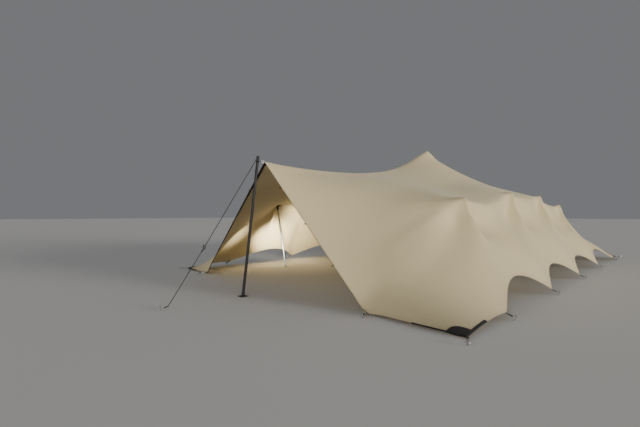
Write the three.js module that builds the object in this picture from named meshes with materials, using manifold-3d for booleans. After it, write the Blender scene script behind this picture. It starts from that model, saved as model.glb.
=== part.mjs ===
// Stretch tent: one elastic sheet carried by a king pole, eight leaning side poles and an
// outside mast at its open front, tied down to ground anchors. Millimetres, +Z up.
// The origin is the foot of the king pole; the open front faces -Y.
import * as THREE from 'three';
import { mergeVertices } from 'three/addons/utils/BufferGeometryUtils.js';
import Module from 'manifold-3d';

const wasm = await Module();
wasm.setup();

// Canopy: where the sheet is held
const SHEET = 12;
const GAP = 0.3;
const KING_HEIGHT = 3660;
const TIP_Y = -6400;
const TIP_HEIGHT = 2655;
const TOE_X = 2460;
const LEFT_TOE_X = 2920;
const END_Y = 6210;
const CORNER_X = 4090;
const GROUND_EDGE = 50;
const FOOT_X = 4100;
const FOOT_HEIGHT = 100;
const FOOT_PITCH = 2500;
const FOOT_SHIFT = 110;
const REAR_FOOT_X = 1360;
const ARCH_RISE = 338;
const ARCH_INSET = 334;
const ARCH_POWER = 0.935;
const ARCH_SKEW = 1.3;
const END_ARCH = 0.06;

// Side poles: where their heads and feet are, from the open front to the rear
const SIDE_HEAD_X = [3000, 3000, 2930, 2840];
const SIDE_HEAD_Z = [1910, 2120, 2130, 1920];
const SIDE_POLE_PITCH = 2550;
const SIDE_LEAN = 440;

// Canopy: the line of the ridge
const RIDGE_LOW = 2560;
const RIDGE_REACH = 1650;
const RIDGE_POWER = 1.2;
const TIP_REACH = 900;
const REAR_LOW = 1700;
const REAR_REACH = 1750;
const REAR_HELD = 3900;

// Canopy: how the pull is shared out over the sheet
const INNER_PULL = 0.54;
const RIDGE_PULL = 0.74;
const RIDGE_WIDTH = 0.23;
const KING_PULL = 11.8;
const KING_SPREAD = 1000;
const SIDE_PULL = 5.9;
const SIDE_SPREAD = 1300;
const SHOULDER_PULL = 0.08;
const POLE_LINE_PULL = 3;
const SKIRT_LINE_PULL = 0.52;
const SKIRT_TOP = 0.89;
const SKIRT_BLEND = 0.09;
const BALANCE_STEPS = 2400;
const OVERSHOOT = 1.85;

// Canopy: its net of cells
const ROWS = 30;
const COLUMNS = 40;
const RIDGE_ROW = 15;
const POLE_ROW = 6;
const TOE_ROW = 5;
const KING_COLUMN = 20;
const FOOT_COLUMNS = [0, 4, 12, 20, 28, 36, 40];
const POLE_COLUMNS = [8, 16, 24, 32];
const REAR_ROWS = [0, 10, 20, 30];
const SEAMS = [0, 6, 13, 18, 22, 27, 34, 40];

// Poles and fittings
const KING_RADIUS = 38;
const SIDE_RADIUS = 28;
const MAST_RADIUS = 27;
const MAST_FOOT_Y = -6920;
const MAST_TOP_Y = -6570;
const MAST_HEIGHT = 2730;
const BASE_THICK = 8;
const KING_BASE = 250;
const KING_SOCKET_RADIUS = 46;
const KING_SOCKET_TOP = 60;
const KING_TOP_DROP = 90;
const SIDE_BASE = 150;
const SIDE_TOP_DROP = 20;
const MAST_BASE = 160;
const HEM_WIDTH = 40;
const HEM_THICK = 16;
const GUY_FOOT_Y = -8350;
const GUY_FOOT_HEIGHT = 60;
const GUY_RADIUS = 11;
const STAKE_RADIUS = 11;
const STAKE_HEIGHT = 85;
const STAKE_LEAN = 0.35;
const STRAP_THICK = 5;
const HEAVY_STRAP = 8;
const STRAP_WIDTH = 34;
const STRAP_LAP = 6;
const SIDE_REACH = 115;
const CORNER_REACH = 200;
const CORNER_AWAY = [0.45, 0.9];
const TOE_REACH = 220;
const GUY_REACH = 100;
const SHEET_TAB = [90, -12];
const TOE_TAB = [20, -HEM_WIDTH - 12];
const LINK_DROP = 12;
const GUY_DROP = 60;
const HEAD_CLEAR = 300;
const CUT_SIZE = 2000;
const PATCH_THICK = 4;

// Outlines of turned bodies: radius and height from the start
const STAKE_KNOB = [[0, 0], [20, 0], [20, 8], [12, 14], [0, 14]];
const KING_DOME = [[0, 0], [44, 0], [58, 14], [78, 26], [82, 40], [70, 60], [40, 84], [0, 94]];
const POLE_BALL = [[0, -62], [30, -60], [52, -35], [58, -10], [50, 15], [26, 30], [0, 34]];
const MAST_CAP = [[0, 0], [33, 0], [33, 18], [22, 30], [0, 34]];

const STYLE = {
  fabric: { color: 0xb9ad97, roughness: 0.85, metalness: 0 },
  webbing: { color: 0x17171a, roughness: 0.9, metalness: 0 },
  steel: { color: 0x9a9c9e, roughness: 0.35, metalness: 1 },
  alloy: { color: 0xa4a7aa, roughness: 0.4, metalness: 1 },
  black: { color: 0x141416, roughness: 0.5, metalness: 0.1 },
  rubber: { color: 0x1c1c1d, roughness: 0.9, metalness: 0 },
};

const tent = new THREE.Group();
tent.name = 'stretch_tent';

function add(name, geometry, style) {
  const mesh = new THREE.Mesh(geometry, new THREE.MeshStandardMaterial(STYLE[style]));
  mesh.name = name;
  tent.add(mesh);
  return mesh;
}

function point(x, y, z) {
  return new THREE.Vector3(x, y, z);
}

function mix(a, b, t) {
  return a.clone().lerp(b, t);
}

// Solids: joining, cutting and simple bodies

function solid(geometry) {
  const bare = geometry.clone();
  bare.deleteAttribute('normal');
  bare.deleteAttribute('uv');
  const merged = mergeVertices(bare, 1e-3);
  const vertProperties = new Float32Array(merged.attributes.position.array);
  const triVerts = new Uint32Array(merged.index.array);
  return new wasm.Manifold(new wasm.Mesh({ numProp: 3, vertProperties, triVerts }));
}

function surface(body) {
  const mesh = body.getMesh();
  const geometry = new THREE.BufferGeometry();
  geometry.setAttribute('position', new THREE.BufferAttribute(mesh.vertProperties, 3));
  geometry.setIndex(new THREE.BufferAttribute(mesh.triVerts, 1));
  geometry.computeVertexNormals();
  return geometry;
}

function joined(...geometries) {
  return surface(geometries.map(solid).reduce((a, b) => a.add(b)));
}

function turnTo(geometry, from, to) {
  const along = to.clone().sub(from).normalize();
  const turn = new THREE.Quaternion().setFromUnitVectors(point(0, 0, 1), along);
  geometry.applyQuaternion(turn);
  geometry.translate(from.x, from.y, from.z);
  return geometry;
}

// A round bar from one point to another.
function bar(from, to, radius, sides = 12) {
  const length = from.distanceTo(to);
  const geometry = new THREE.CylinderGeometry(radius, radius, length, sides);
  geometry.rotateX(Math.PI / 2);
  geometry.translate(0, 0, length / 2);
  return turnTo(geometry, from, to);
}

// A flat strap from one point to another, its width level.
function strap(from, to, width, thick) {
  const along = to.clone().sub(from);
  const length = along.length();
  along.normalize();
  const across = point(0, 0, 1).cross(along).normalize();
  const up = along.clone().cross(across);
  const geometry = new THREE.BoxGeometry(length, width, thick);
  geometry.applyMatrix4(new THREE.Matrix4().makeBasis(along, across, up));
  const middle = mix(from, to, 0.5);
  geometry.translate(middle.x, middle.y, middle.z);
  return geometry;
}

// A square plate lying on the ground.
function plate(x, y, size, thick) {
  const geometry = new THREE.BoxGeometry(size, size, thick);
  geometry.translate(x, y, thick / 2);
  return geometry;
}

// A closed body of revolution about a line from one point towards another.
function turned(from, to, profile, sides = 16) {
  const points = profile.map(([r, z]) => new THREE.Vector2(r, z));
  const geometry = new THREE.LatheGeometry(points, sides);
  geometry.rotateX(Math.PI / 2);
  return turnTo(geometry, from, to);
}

// Everything above a level plane.
function cutBelow(geometry, level) {
  const box = new THREE.BoxGeometry(CUT_SIZE, CUT_SIZE, CUT_SIZE);
  geometry.computeBoundingBox();
  const middle = geometry.boundingBox.getCenter(point(0, 0, 0));
  box.translate(middle.x, middle.y, level - CUT_SIZE / 2);
  return surface(solid(geometry).subtract(solid(box)));
}

// Canopy: the edge lines

// An arch between two held points, 0 at both and 1 at its top, which a skew moves on.
function arch(t, skew = 1) {
  const s = t ** skew;
  return (4 * s * (1 - s)) ** ARCH_POWER;
}

function sideFootY(k) {
  return FOOT_SHIFT + (k - 3) * FOOT_PITCH;
}

function sideEdge(column) {
  let k = 0;
  while (column > FOOT_COLUMNS[k + 1]) {
    k += 1;
  }
  const last = FOOT_COLUMNS.length - 1;
  const t = (column - FOOT_COLUMNS[k]) / (FOOT_COLUMNS[k + 1] - FOOT_COLUMNS[k]);
  const held = [k, k + 1].map((n) => {
    if (n === 0) {
      return point(CORNER_X, -END_Y, GROUND_EDGE);
    }
    if (n === last) {
      return point(CORNER_X, END_Y, GROUND_EDGE);
    }
    return point(FOOT_X, sideFootY(n), FOOT_HEIGHT);
  });
  const share = k === 0 || k === last - 1 ? END_ARCH : 1;
  const p = mix(held[0], held[1], t);
  return p.add(point(-ARCH_INSET, 0, ARCH_RISE).multiplyScalar(arch(t, ARCH_SKEW) * share));
}

// One half of the front edge, from the corner along the ground to the toe and up to the tip.
// Both halves are drawn on the right; the left one has its toe further out.
function frontEdge(row, side) {
  const corner = point(CORNER_X, -END_Y, GROUND_EDGE);
  const toe = point(side > 0 ? TOE_X : LEFT_TOE_X, -END_Y, GROUND_EDGE);
  if (row <= TOE_ROW) {
    return mix(corner, toe, row / TOE_ROW);
  }
  const tip = point(0, TIP_Y, TIP_HEIGHT);
  return mix(toe, tip, (row - TOE_ROW) / (RIDGE_ROW - TOE_ROW));
}

function rearEdge(row) {
  const k = Math.min(2, Math.floor(row / REAR_ROWS[1]));
  const t = (row - REAR_ROWS[k]) / REAR_ROWS[1];
  const held = [
    point(CORNER_X, END_Y, GROUND_EDGE),
    point(REAR_FOOT_X, END_Y, FOOT_HEIGHT),
    point(-REAR_FOOT_X, END_Y, FOOT_HEIGHT),
    point(-CORNER_X, END_Y, GROUND_EDGE),
  ];
  const p = mix(held[k], held[k + 1], t);
  return p.add(point(0, -ARCH_INSET, ARCH_RISE).multiplyScalar(arch(t)));
}

// The ridge falls away from the king pole and, in front, lifts a little again to the tip.
function ridgeHeight(y) {
  const [low, reach] = y > 0 ? [REAR_LOW, REAR_REACH] : [RIDGE_LOW, RIDGE_REACH];
  const fall = Math.exp(-((Math.abs(y) / reach) ** RIDGE_POWER));
  const lift = y > 0 ? 0 : (TIP_HEIGHT - RIDGE_LOW) * Math.exp((TIP_Y - y) / TIP_REACH);
  return low + (KING_HEIGHT - low) * fall + lift;
}

// Where the pole heads meet the sheet: net row and column, place, and side of the tent.
const kingHead = {
  row: RIDGE_ROW,
  column: KING_COLUMN,
  at: point(0, 0, KING_HEIGHT),
  pull: KING_PULL,
  spread: KING_SPREAD,
};
const sideHeads = POLE_COLUMNS.flatMap((column, n) => [1, -1].map((side) => ({
  row: side > 0 ? POLE_ROW : ROWS - POLE_ROW,
  column,
  at: point(side * SIDE_HEAD_X[n], (n - 1.5) * SIDE_POLE_PITCH, SIDE_HEAD_Z[n]),
  pull: SIDE_PULL,
  spread: SIDE_SPREAD,
  side,
  n,
})));
const heads = [kingHead, ...sideHeads];

// The plan of each half is two patches that meet in the line of the side poles. This is that
// line, straight from the front edge through the four heads to the rear edge.
function poleLine(column, side) {
  const stops = [[0, frontEdge(POLE_ROW, side)], [COLUMNS, rearEdge(POLE_ROW)]];
  const right = sideHeads.filter((head) => head.side > 0).map((head) => [head.column, head.at]);
  stops.splice(1, 0, ...right);
  const k = stops.findIndex(([end]) => end >= Math.max(column, 1));
  const [[from, a], [to, b]] = [stops[k - 1], stops[k]];
  return mix(a, b, (column - from) / (to - from));
}

function ridgeLine(column) {
  const end = column < KING_COLUMN ? TIP_Y : rearEdge(RIDGE_ROW).y;
  const y = end * Math.abs(1 - column / KING_COLUMN);
  return point(0, y, ridgeHeight(y));
}

// A patch between two long lines (from front to rear) and two cross lines, each a function that
// gives a point: the sum of the two ruled patches less the one through the four corners.
function patchPoint(low, high, front, rear, u, v) {
  const column = v * COLUMNS;
  const long = mix(low(column), high(column), u);
  const cross = mix(front(u), rear(u), v);
  const corners = mix(mix(low(0), high(0), u), mix(low(COLUMNS), high(COLUMNS), u), v);
  return long.add(cross).sub(corners);
}

function startPoint(row, column, side) {
  const poles = (at) => poleLine(at, side);
  const [from, to, low, high] = row <= POLE_ROW
    ? [0, POLE_ROW, sideEdge, poles]
    : [POLE_ROW, RIDGE_ROW, poles, ridgeLine];
  const front = (u) => frontEdge(from + (to - from) * u, side);
  const rear = (u) => rearEdge(from + (to - from) * u);
  return patchPoint(low, high, front, rear, (row - from) / (to - from), column / COLUMNS);
}

// The pull in the sheet at a net point: even in the skirt, slack in the shoulder just outside
// the line of the side poles, less inside that line, and highest along the ridge and round
// each pole head.
function pullAt(row, p) {
  const level = Math.min(row, ROWS - row);
  const inside = 1 / (1 + Math.exp(-(level / POLE_ROW - SKIRT_TOP) / SKIRT_BLEND));
  let pull = (1 + (INNER_PULL - 1) * inside) * (level === POLE_ROW - 1 ? SHOULDER_PULL : 1);
  const fromRidge = (row - RIDGE_ROW) / (RIDGE_ROW - POLE_ROW);
  pull += RIDGE_PULL * Math.exp(-((fromRidge / RIDGE_WIDTH) ** 2));
  for (const head of heads) {
    pull += head.pull * Math.exp(-Math.hypot(p.x - head.at.x, p.y - head.at.y) / head.spread);
  }
  return pull;
}

function isRidge(row, column) {
  return row === RIDGE_ROW && column > 0 && ridgeLine(column).y < REAR_HELD;
}

function isHeld(row, column) {
  const edge = row % ROWS === 0 || column % COLUMNS === 0;
  const head = heads.some((each) => each.row === row && each.column === column);
  return edge || head || isRidge(row, column);
}

// How much more the cords along the tent pull than those across it.
function linePull(row) {
  const level = Math.min(row, ROWS - row);
  if (level < POLE_ROW) {
    return SKIRT_LINE_PULL;
  }
  return level === POLE_ROW ? POLE_LINE_PULL : 1;
}

// The sheet as a net in balance: the height of each free point is the mean of its four
// neighbours, weighed by the pull in the cords between them. The edges, the ridge and the
// heads are held.
function balancedNet() {
  const points = [];
  for (let i = 0; i <= ROWS; i += 1) {
    points.push([]);
    for (let j = 0; j <= COLUMNS; j += 1) {
      const side = i <= RIDGE_ROW ? 1 : -1;
      const p = startPoint(Math.min(i, ROWS - i), j, side);
      p.x *= side;
      points[i].push(isRidge(i, j) ? ridgeLine(j) : p);
    }
  }
  const pull = points.map((line, i) => line.map((p) => pullAt(i, p)));
  const free = [];
  for (let i = 1; i < ROWS; i += 1) {
    const share = linePull(i);
    for (let j = 1; j < COLUMNS; j += 1) {
      if (!isHeld(i, j)) {
        const ends = [[i - 1, j, 1], [i + 1, j, 1], [i, j - 1, share], [i, j + 1, share]];
        const cords = ends.map(([a, b, s]) => [points[a][b], s * (pull[i][j] + pull[a][b])]);
        free.push([points[i][j], cords]);
      }
    }
  }
  for (let step = 0; step < BALANCE_STEPS; step += 1) {
    for (const [p, cords] of free) {
      const total = cords.reduce((sum, [, cord]) => sum + cord, 0);
      const mean = cords.reduce((sum, [q, cord]) => sum + q.z * cord, 0) / total;
      p.z += OVERSHOOT * (mean - p.z);
    }
  }
  return points;
}

const net = balancedNet();

// The upward normal of the sheet at each net point.
const normals = net.map((line, i) => line.map((p, j) => {
  const across = net[Math.max(i - 1, 0)][j].clone().sub(net[Math.min(i + 1, ROWS)][j]);
  const along = line[Math.min(j + 1, COLUMNS)].clone().sub(line[Math.max(j - 1, 0)]);
  return across.cross(along).normalize();
}));

// A grid moved along its normals, or straight up.
function offset(points, directions, height) {
  const moved = (p, direction) => p.clone().addScaledVector(direction, height);
  return points.map((line, i) => line.map((p, j) => moved(p, directions[i][j])));
}

function raised(points, height) {
  return points.map((line) => line.map((p) => p.clone().setZ(p.z + height)));
}

// A closed skin between an upper and a lower grid. Each cell is split along the same diagonal
// above and below, mirrored from one half of the tent to the other, and the walls of two skins
// that meet in a seam are split alike.
function skin(upper, lower, firstRow = 0) {
  const rows = upper.length;
  const columns = upper[0].length;
  const position = [upper, lower].flat(2).flatMap((p) => [p.x, p.y, p.z]);
  const count = rows * columns;
  const at = (i, j) => i * columns + j;
  const index = [];
  const quad = (a, b, c, d) => index.push(a, b, c, a, c, d);
  for (let i = 0; i + 1 < rows; i += 1) {
    for (let j = 0; j + 1 < columns; j += 1) {
      const corners = [at(i, j), at(i, j + 1), at(i + 1, j + 1), at(i + 1, j)];
      if (firstRow + i >= RIDGE_ROW) {
        corners.push(corners.shift());
      }
      const [a, b, c, d] = corners;
      quad(a, b, c, d);
      quad(a + count, d + count, c + count, b + count);
    }
  }
  const rim = [];
  for (let j = 0; j + 1 < columns; j += 1) {
    rim.push(at(0, j));
  }
  for (let i = 0; i + 1 < rows; i += 1) {
    rim.push(at(i, columns - 1));
  }
  for (let j = columns - 1; j > 0; j -= 1) {
    rim.push(at(rows - 1, j));
  }
  for (let i = rows - 1; i > 0; i -= 1) {
    rim.push(at(i, 0));
  }
  const lastSide = rim.length - (rows - 1);
  rim.forEach((a, n) => {
    const b = rim[(n + 1) % rim.length];
    const wall = [b, a, a + count, b + count];
    if (n >= lastSide) {
      wall.push(wall.shift());
    }
    quad(...wall);
  });
  const geometry = new THREE.BufferGeometry();
  geometry.setAttribute('position', new THREE.Float32BufferAttribute(position, 3));
  geometry.setIndex(index);
  geometry.computeVertexNormals();
  return geometry;
}

// Points of the net from one seam to the next, drawn back from each seam by half the gap.
function stripPoints(from, to) {
  return net.map((line) => line.slice(from, to + 1).map((p, n, part) => {
    const q = p.clone();
    if (n === 0 && from > 0) {
      q.addScaledVector(part[1].clone().sub(p).normalize(), GAP / 2);
    }
    if (n === to - from && to < COLUMNS) {
      q.addScaledVector(part[n - 1].clone().sub(p).normalize(), GAP / 2);
    }
    return q;
  }));
}

function partOf(grid, from, to) {
  return grid.map((line) => line.slice(from, to + 1));
}

const canopy = new THREE.Group();
tent.add(canopy);
for (let n = 0; n + 1 < SEAMS.length; n += 1) {
  const [from, to] = [SEAMS[n], SEAMS[n + 1]];
  const points = stripPoints(from, to);
  const directions = partOf(normals, from, to);
  const [upper, lower] = [1, -1].map((face) => offset(points, directions, face * SHEET / 2));
  canopy.add(add(`canopy_strip_${n + 1}`, skin(upper, lower), 'fabric'));
}

// The part of a grid within two cells of a net point.
function near(grid, { row, column }) {
  return partOf(grid.slice(Math.max(row - 2, 0), row + 3), Math.max(column - 2, 0), column + 2);
}

// A piece without what would reach through the sheet above it.
function underSheet(geometry, place) {
  const underside = offset(near(net, place), near(normals, place), -SHEET / 2 - GAP);
  const above = skin(raised(underside, HEAD_CLEAR), underside, Math.max(place.row - 2, 0));
  return surface(solid(geometry).subtract(solid(above)));
}

// A point moved away from another one.
function apart(p, other, distance) {
  return p.clone().addScaledVector(p.clone().sub(other).normalize(), distance);
}

// A piece cut clear of the edge of the sheet, which is taken a little past its rim.
function besideSheet(geometry, place) {
  const past = GAP * 1.5;
  const grown = net.map((line) => {
    const [first, last] = [apart(line[0], line[1], past), apart(line[COLUMNS], line[COLUMNS - 1], past)];
    return [first, ...line.slice(1, -1), last];
  });
  grown[0] = grown[0].map((p, j) => apart(p, net[1][j], past));
  grown[ROWS] = grown[ROWS].map((p, j) => apart(p, net[ROWS - 1][j], past));
  const [points, directions] = [near(grown, place), near(normals, place)];
  const room = SHEET / 2 + GAP;
  const [upper, lower] = [room, -room].map((height) => offset(points, directions, height));
  return surface(solid(geometry).subtract(solid(skin(upper, lower, Math.max(place.row - 2, 0)))));
}

// Hems: webbing along the two straight front edges, from the tip to the toes. With a room, the
// hem is that much larger all round, to cut other pieces clear of it.
function hem(rows, room = 0) {
  const upright = rows.map((i) => {
    const out = net[i][0].clone().sub(net[i][1]);
    out.addScaledVector(normals[i][0], -out.dot(normals[i][0])).setX(0);
    return out.normalize();
  });
  const grid = rows.map((i, n) => {
    const reach = (distance) => net[i][0].clone().addScaledVector(upright[n], distance);
    return [reach(HEM_WIDTH + room), reach(GAP * 2 - room)];
  });
  const last = grid.length - 1;
  const longer = (end, next) => end.map((p, k) => apart(p, next[k], room - GAP / 2));
  [grid[0], grid[last]] = [longer(grid[0], grid[1]), longer(grid[last], grid[last - 1])];
  const directions = rows.map((i) => [normals[i][0], normals[i][0]]);
  const half = HEM_THICK / 2 + room;
  return skin(offset(grid, directions, half), offset(grid, directions, -half), rows[0]);
}

const rightRows = Array.from({ length: RIDGE_ROW - TOE_ROW + 1 }, (_, n) => TOE_ROW + n);
const leftRows = rightRows.map((i) => ROWS - i).reverse();
add('front_hem_right', hem(rightRows), 'webbing');
add('front_hem_left', hem(leftRows), 'webbing');

// Corner patches: a plate of webbing on top of each ground corner of the sheet
for (const [side, end] of [[1, -1], [-1, -1], [1, 1], [-1, 1]]) {
  const i = side > 0 ? 0 : ROWS - 1;
  const j = end < 0 ? 0 : COLUMNS - 1;
  const cell = (grid) => [grid[i].slice(j, j + 2), grid[i + 1].slice(j, j + 2)];
  const lower = offset(cell(net), cell(normals), SHEET / 2 + GAP);
  const upper = offset(cell(net), cell(normals), SHEET / 2 + GAP + PATCH_THICK);
  const name = `corner_patch_${end < 0 ? 'front' : 'rear'}_${side > 0 ? 'right' : 'left'}`;
  add(name, skin(upper, lower, i), 'webbing');
}

// Ground anchors: a stake whose head leans away from the tent, and the webbing that ties the
// sheet to it. The webbing runs a short way up the underside of the sheet.
function stake(foot, out) {
  const head = foot.clone().addScaledVector(out, STAKE_HEIGHT * STAKE_LEAN).setZ(STAKE_HEIGHT);
  const shaft = cutBelow(bar(mix(foot, head, -0.3), head, STAKE_RADIUS), 0);
  const knob = turned(mix(foot, head, 0.86), head, STAKE_KNOB);
  return { shaft, knob, grip: mix(foot, head, 0.5) };
}

function anchor(name, { row, column, inward, away, distance, half, tab }) {
  const edge = net[row][column];
  const along = inward.clone().sub(edge).normalize();
  const middle = edge.clone().addScaledVector(normals[row][column], -(half + GAP * 2 + STRAP_THICK / 2));
  const under = (reach) => middle.clone().addScaledVector(along, reach);
  const out = away.clone().normalize();
  const { shaft, knob, grip } = stake(edge.clone().setZ(0).addScaledVector(out, distance), out);
  const sewn = strap(under(tab[0]), under(tab[1]), STRAP_WIDTH, STRAP_THICK);
  const tie = strap(under(tab[1] + STRAP_LAP), grip, STRAP_WIDTH, STRAP_THICK);
  let whole = besideSheet(joined(shaft, knob, tie, sewn), { row, column });
  if (column === 0 && row % ROWS > 0) {
    const hemRoom = hem(row < RIDGE_ROW ? rightRows : leftRows, GAP);
    whole = surface(solid(whole).subtract(solid(hemRoom)));
  }
  add(name, whole, 'steel');
}

for (const [side, word] of [[1, 'right'], [-1, 'left']]) {
  const mirrored = (row) => (side > 0 ? row : ROWS - row);
  const sheetTie = { half: SHEET / 2, tab: SHEET_TAB };
  for (let k = 1; k < FOOT_COLUMNS.length - 1; k += 1) {
    const column = FOOT_COLUMNS[k];
    anchor(`side_anchor_${word}_${k}`, {
      row: mirrored(0),
      column,
      inward: net[mirrored(1)][column],
      away: point(side, 0, 0),
      distance: SIDE_REACH,
      ...sheetTie,
    });
  }
  const rearRow = mirrored(REAR_ROWS[1]);
  anchor(`rear_anchor_${word}`, {
    row: rearRow,
    column: COLUMNS,
    inward: net[rearRow][COLUMNS - 1],
    away: point(0, 1, 0),
    distance: SIDE_REACH,
    ...sheetTie,
  });
  for (const [end, place] of [[-1, 'front'], [1, 'rear']]) {
    anchor(`corner_anchor_${place}_${word}`, {
      row: mirrored(0),
      column: end < 0 ? 0 : COLUMNS,
      inward: net[mirrored(1)][end < 0 ? 1 : COLUMNS - 1],
      away: point(side * CORNER_AWAY[0], end * CORNER_AWAY[1], 0),
      distance: CORNER_REACH,
      ...sheetTie,
    });
  }
  const toeRow = mirrored(TOE_ROW);
  anchor(`toe_anchor_${word}`, {
    row: toeRow,
    column: 0,
    inward: net[toeRow][1],
    away: point(side / 2, -1, 0),
    distance: TOE_REACH,
    half: HEM_THICK / 2,
    tab: TOE_TAB,
  });
}

// King pole: base plate, tube and a domed head trimmed to the sheet
const kingFoot = point(0, 0, 0);
const kingTop = point(0, 0, KING_HEIGHT - KING_TOP_DROP);
const socketTop = kingFoot.clone().setZ(KING_SOCKET_TOP);
const kingSocket = bar(kingFoot.clone().setZ(BASE_THICK / 2), socketTop, KING_SOCKET_RADIUS, 20);
add('king_pole_base', joined(plate(0, 0, KING_BASE, BASE_THICK), kingSocket), 'steel');
add('king_pole', bar(kingFoot.clone().setZ(KING_SOCKET_TOP + GAP), kingTop, KING_RADIUS, 20), 'alloy');
const headStart = kingTop.clone().setZ(kingTop.z + GAP);
const kingDome = turned(headStart, headStart.clone().setZ(KING_HEIGHT * 2), KING_DOME, 20);
add('king_pole_head', underSheet(kingDome, kingHead), 'rubber');

// Side poles: foot plate, leaning tube and round head in one piece
for (const head of sideHeads) {
  const foot = point(head.at.x - head.side * SIDE_LEAN, head.at.y, 0);
  const top = head.at.clone().setZ(head.at.z - SIDE_TOP_DROP);
  const tube = bar(foot.clone().setZ(BASE_THICK / 2), top, SIDE_RADIUS);
  const ball = turned(top, top.clone().setZ(KING_HEIGHT * 2), POLE_BALL);
  const base = plate(foot.x, foot.y, SIDE_BASE, BASE_THICK);
  const pole = joined(base, cutBelow(tube, BASE_THICK / 2), ball);
  const name = `side_pole_${head.side > 0 ? 'right' : 'left'}_${head.n + 1}`;
  add(name, underSheet(pole, head), 'alloy');
}

// Mast: stands outside the tip and leans in towards it
const mastFoot = point(0, MAST_FOOT_Y, 0);
const mastTop = point(0, MAST_TOP_Y, MAST_HEIGHT);
const alongMast = (height) => mix(mastFoot, mastTop, height / MAST_HEIGHT);
const belowMast = alongMast(-GUY_DROP);
const aboveMast = alongMast(MAST_HEIGHT + GUY_DROP);
add('mast_base', plate(mastFoot.x, mastFoot.y, MAST_BASE, BASE_THICK), 'steel');
add('mast', cutBelow(bar(belowMast, mastTop, MAST_RADIUS, 16), BASE_THICK + GAP), 'black');
add('mast_cap', turned(apart(mastTop, mastFoot, GAP), aboveMast, MAST_CAP), 'rubber');

// Pieces that bear on the mast are cut to its side.
const mastRoom = bar(belowMast, aboveMast, MAST_RADIUS + GAP, 16);
function besideMast(geometry) {
  return surface(solid(geometry).subtract(solid(mastRoom)));
}

// Tip link: the short strap from the tip of the sheet to the mast
const linkTip = point(0, TIP_Y - HEM_WIDTH - GAP * 3, TIP_HEIGHT);
const linkEnd = alongMast(TIP_HEIGHT - LINK_DROP);
add('tip_link', besideMast(strap(linkTip, linkEnd, STRAP_WIDTH, HEAVY_STRAP)), 'webbing');

// Guy rope: from the top of the mast out to its stake
const guyTop = alongMast(MAST_HEIGHT - GUY_DROP);
const guyFoot = point(0, GUY_FOOT_Y, GUY_FOOT_HEIGHT);
add('guy_rope', besideMast(bar(guyTop, guyFoot, GUY_RADIUS, 10)), 'webbing');

// The guy's stake, and a tie whose socket takes the end of the rope
const guyOut = point(0, -1, 0);
const guyStake = stake(guyFoot.clone().setZ(0).addScaledVector(guyOut, GUY_REACH), guyOut);
const guyTie = strap(apart(guyFoot, guyTop, -GUY_RADIUS), guyStake.grip, STRAP_WIDTH, HEAVY_STRAP);
const guyRoom = bar(mix(guyTop, guyFoot, 0.9), apart(guyFoot, guyTop, GAP), GUY_RADIUS + GAP, 10);
const guyAnchor = solid(joined(guyStake.shaft, guyStake.knob, guyTie)).subtract(solid(guyRoom));
add('guy_anchor', surface(guyAnchor), 'steel');

export default tent;
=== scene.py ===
import math

import bpy
import bmesh
import numpy as np
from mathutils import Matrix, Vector


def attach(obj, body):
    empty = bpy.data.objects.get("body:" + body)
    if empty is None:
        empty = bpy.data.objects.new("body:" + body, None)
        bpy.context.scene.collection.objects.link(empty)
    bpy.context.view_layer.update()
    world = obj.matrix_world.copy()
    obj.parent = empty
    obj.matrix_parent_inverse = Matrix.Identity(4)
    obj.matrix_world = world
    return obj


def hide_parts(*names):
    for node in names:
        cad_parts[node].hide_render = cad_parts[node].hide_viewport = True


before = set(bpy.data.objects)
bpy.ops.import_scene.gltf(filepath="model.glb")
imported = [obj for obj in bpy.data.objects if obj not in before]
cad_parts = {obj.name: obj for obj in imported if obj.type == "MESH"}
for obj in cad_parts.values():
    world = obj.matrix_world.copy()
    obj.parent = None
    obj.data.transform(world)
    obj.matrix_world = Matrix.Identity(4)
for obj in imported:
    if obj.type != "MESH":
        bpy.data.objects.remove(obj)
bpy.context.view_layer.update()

# Stretch tent: one elastic sheet over a king pole and eight leaning side poles, a mast in front
# of its open end, black webbing along its edges, and stakes with their ties. Metres, +Z up.

# The sheet: where it is held (the same values as the frame's solids)
KING_HEIGHT = 3.660
TIP_Y = -6.400
TIP_HEIGHT = 2.655
TOE_X = 2.460
LEFT_TOE_X = 2.920
END_Y = 6.210
CORNER_X = 4.090
GROUND_EDGE = 0.050
FOOT_X = 4.100
FOOT_HEIGHT = 0.100
FOOT_PITCH = 2.500
FOOT_SHIFT = 0.110
REAR_FOOT_X = 1.360
ARCH_RISE = 0.338
ARCH_INSET = 0.334
ARCH_POWER = 0.935
ARCH_SKEW = 1.3
END_ARCH = 0.06
SIDE_HEAD_X = (3.000, 3.000, 2.930, 2.840)
SIDE_HEAD_Z = (1.910, 2.120, 2.130, 1.920)
SIDE_POLE_PITCH = 2.550
SIDE_LEAN = 0.440
RIDGE_LOW = 2.560
RIDGE_REACH = 1.650
RIDGE_POWER = 1.2
TIP_REACH = 0.900
REAR_LOW = 1.700
REAR_REACH = 1.750
REAR_HELD = 3.900

# The sheet: how the pull is shared out, and its net of cells
INNER_PULL = 0.54
RIDGE_PULL, RIDGE_WIDTH = 0.74, 0.23
KING_PULL, KING_SPREAD = 11.8, 1.000
SIDE_PULL, SIDE_SPREAD = 5.9, 1.300
SHOULDER_PULL = 0.08
POLE_LINE_PULL = 3
SKIRT_LINE_PULL = 0.52
SKIRT_TOP = 0.89
SKIRT_BLEND = 0.09
ROWS, COLUMNS = 30, 40
RIDGE_ROW, POLE_ROW, TOE_ROW, KING_COLUMN = 15, 6, 5, 20
FOOT_COLUMNS = np.array([0, 4, 12, 20, 28, 36, 40])
POLE_COLUMNS = (8, 16, 24, 32)
REAR_ROWS = np.array([0, 10, 20, 30])

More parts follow.
